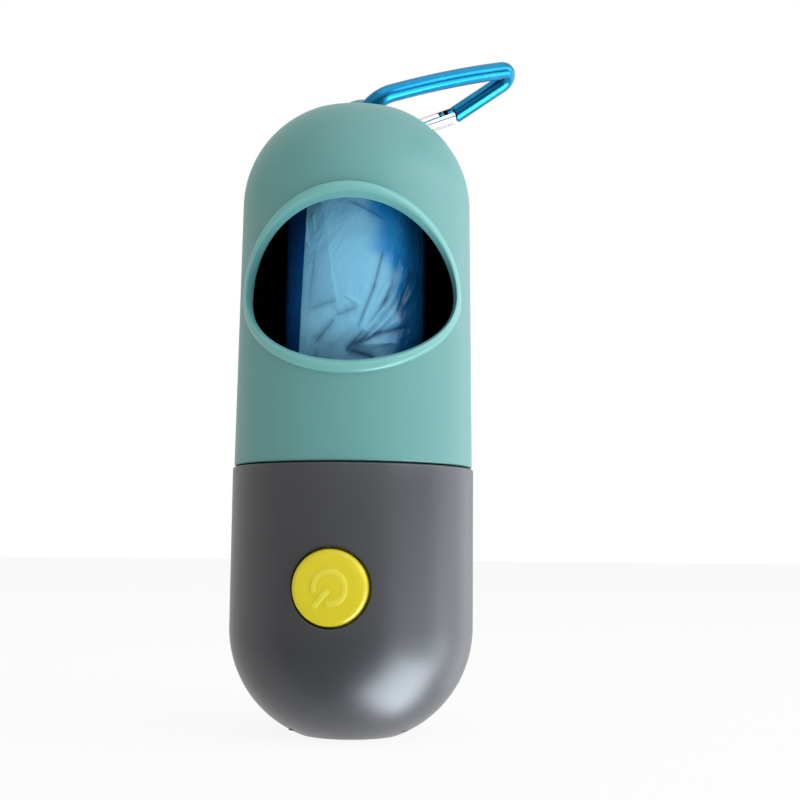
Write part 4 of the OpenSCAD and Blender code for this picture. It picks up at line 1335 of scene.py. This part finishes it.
HINGE = (rod_start[0] + HINGE_REACH, rod_start[1])
GATE_TURN = atan2(rod_nose[1] - HINGE[1], rod_nose[0] - HINGE[0])
GATE_LEN = hypot(rod_nose[0] - HINGE[0], rod_nose[1] - HINGE[1])
AT_HINGE = on_line(*HINGE)
AT_GATE = on_line(*HINGE, GATE_TURN)
LATCH_X = GATE_LEN - LATCH_BACK
AT_LATCH = AT_GATE @ Matrix.Translation((LATCH_X, 0, 0))
print("gate length", round(GATE_LEN, 2), "mm")

# %% Cutting shapes
def block(name, low, high, place):
    """A box between two corners, put where place says."""
    bm = bmesh.new()
    low, high = Vector(low), Vector(high)
    size = Matrix.Diagonal((*(high - low), 1))
    bmesh.ops.create_cube(bm, size=1, matrix=Matrix.Translation((low + high) / 2) @ size)
    bmesh.ops.transform(bm, matrix=place, verts=bm.verts)
    return as_object(name, bm)


def peg(name, radius, low, high, place, round_by=0.0):
    """A round peg along Z, put where place says, with its rims rounded if asked."""
    bm = bmesh.new()
    add_rod(bm, radius, high - low, Matrix.Translation((0, 0, (low + high) / 2)), 40)
    if round_by:
        rims = [e for e in bm.edges if abs(e.verts[0].co.z - e.verts[1].co.z) < COLLAPSED]
        bevel_edges(bm, rims, round_by, 3)
    bmesh.ops.transform(bm, matrix=place, verts=bm.verts)
    return as_object(name, bm)


# %% Tongues and notch of the rod
TONGUE_R = 1.6
NOSE_HALF = 1.44
NOSE_TRIM = 8
HINGE_PIN_R = 0.6
LATCH_R = 0.5
NOTCH_R = LATCH_R + FORK_GAP
PAST = 4
half_t = TONGUE_T / 2
rod_x, rod_y, _ = rod_start

cut(clip_rod, [block("nose_trim", (GATE_LEN - NOSE_TRIM, -PAST, -PAST), (GATE_LEN, PAST, PAST), AT_GATE)])
cut(clip_rod, [
    block("hinge_tongue", (rod_x - 1, rod_y - TONGUE_R, -half_t), (HINGE[0], rod_y + TONGUE_R, half_t),
          Matrix()),
    peg("hinge_eye", TONGUE_R, -half_t, half_t, AT_HINGE),
    block("nose_tongue", (GATE_LEN - TONGUE_LEN, -NOSE_HALF, -half_t),
          (GATE_LEN + 1, NOSE_HALF, half_t), AT_GATE),
], "UNION")
cut(clip_rod, [
    peg("pin_bore", HINGE_PIN_R, -PAST, PAST, AT_HINGE),
    peg("notch", NOTCH_R, -PAST, PAST, AT_LATCH),
    block("notch_mouth", (LATCH_X - NOTCH_R, -PAST, -PAST), (LATCH_X + NOTCH_R, 0, PAST), AT_GATE),
])
to_body(clip_rod, IN_LOOP)
fit(clip_rod, "clip", [BLUE_METAL], ["carabiner_body"])

# %% [markdown]
# ## The gate
# The gate is a polished tube with a rounded hinge end. Slots milled through both ends make the forks,
# and a cross pin in the nose fork catches the notch of the arm. It is turned as one profile and the
# slots are cut out with booleans.

# %% Gate
GATE_SHORT = 0.3
GATE_ROUND = 0.35
GATE_END = GATE_LEN - GATE_SHORT
PIN_BORE_R = 0.65
FORK_SLOT = 2.2
NOSE_SLOT = 4.2
SPRING_BORE_R = 1.2
SPRING_DEPTH = 10.4

bm = bmesh.new()
v = start(bm, 0, -ROD_R)
v = arc(bm, v, 0, 0, 90, 12)
v = line(bm, v, ROD_R, GATE_END - GATE_ROUND)
v = arc(bm, v, ROD_R - GATE_ROUND, GATE_END - GATE_ROUND, 90, 4)
v = line(bm, v, 0, GATE_END)
spin_round(bm, 48)
along_gate = AT_GATE @ Matrix.Rotation(pi / 2, 4, "Y")
bmesh.ops.transform(bm, matrix=along_gate, verts=bm.verts)
gate_tube = as_object("gate_tube", bm, 40)
half_fork = half_t + FORK_GAP
cut(gate_tube, [
    block("hinge_slot", (-PAST, -PAST, -half_fork), (FORK_SLOT, PAST, half_fork), AT_GATE),
    block("nose_slot", (GATE_LEN - NOSE_SLOT, -PAST, -half_fork), (GATE_LEN + 1, PAST, half_fork), AT_GATE),
    peg("pin_bore", PIN_BORE_R, -PAST, PAST, AT_GATE),
    peg("latch_bore", LATCH_R, -PAST, PAST, AT_LATCH),
    peg("spring_bore", SPRING_BORE_R, 0, SPRING_DEPTH, along_gate),
])
to_body(gate_tube, IN_LOOP)
fit(gate_tube, "gate", [SILVER], ["carabiner_gate"])

# %% Pins
HINGE_PIN_HALF = 2.2
LATCH_PIN_HALF = 2.0

hinge_rivet = peg("hinge_rivet", HINGE_PIN_R, -HINGE_PIN_HALF, HINGE_PIN_HALF, AT_GATE, 0.2)
fit(to_body(hinge_rivet, IN_LOOP), "clip", [STEEL], ["gate_hinge_pin"])
latch_rivet = peg("latch_rivet", LATCH_R, -LATCH_PIN_HALF, LATCH_PIN_HALF, AT_LATCH, 0.15)
fit(to_body(latch_rivet, IN_LOOP), "gate", [STEEL], ["gate_latch_pin"])

# %% [markdown]
# ## Pieces whose solids are already right
# The inner pieces are seen only when the halves are pulled apart or the lens is looked into. Their
# solids have the true shape, so they stay and only get a finish.

# %% Finishes of the inner pieces
NODE_FINISH = {
    "inner_cap": DARK, "battery_door": DARK, "cap_screws": STEEL, "door_screws": STEEL,
    "o_ring": RUBBER, "battery_holder": WHITE, "button_cell_1": CELL, "button_cell_2": CELL,
    "button_cell_3": CELL, "contact_spring": WIRE, "contact_plate": BRASS, "switch_body": BLACK,
    "switch_plunger": WHITE, "led_board": BOARD, "led": RESIN, "reflector": MIRROR, "lens": CLEAR,
    "wire_red": RED_SLEEVE, "wire_black": BLACK_SLEEVE, "roll_core": CARD, "gate_spring": WIRE,
}

for node, paint in NODE_FINISH.items():
    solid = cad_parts[node]
    if solid.material_slots:
        for place in solid.material_slots:
            place.material = paint
    else:
        solid.data.materials.append(paint)
print("finished nodes:", len(NODE_FINISH))
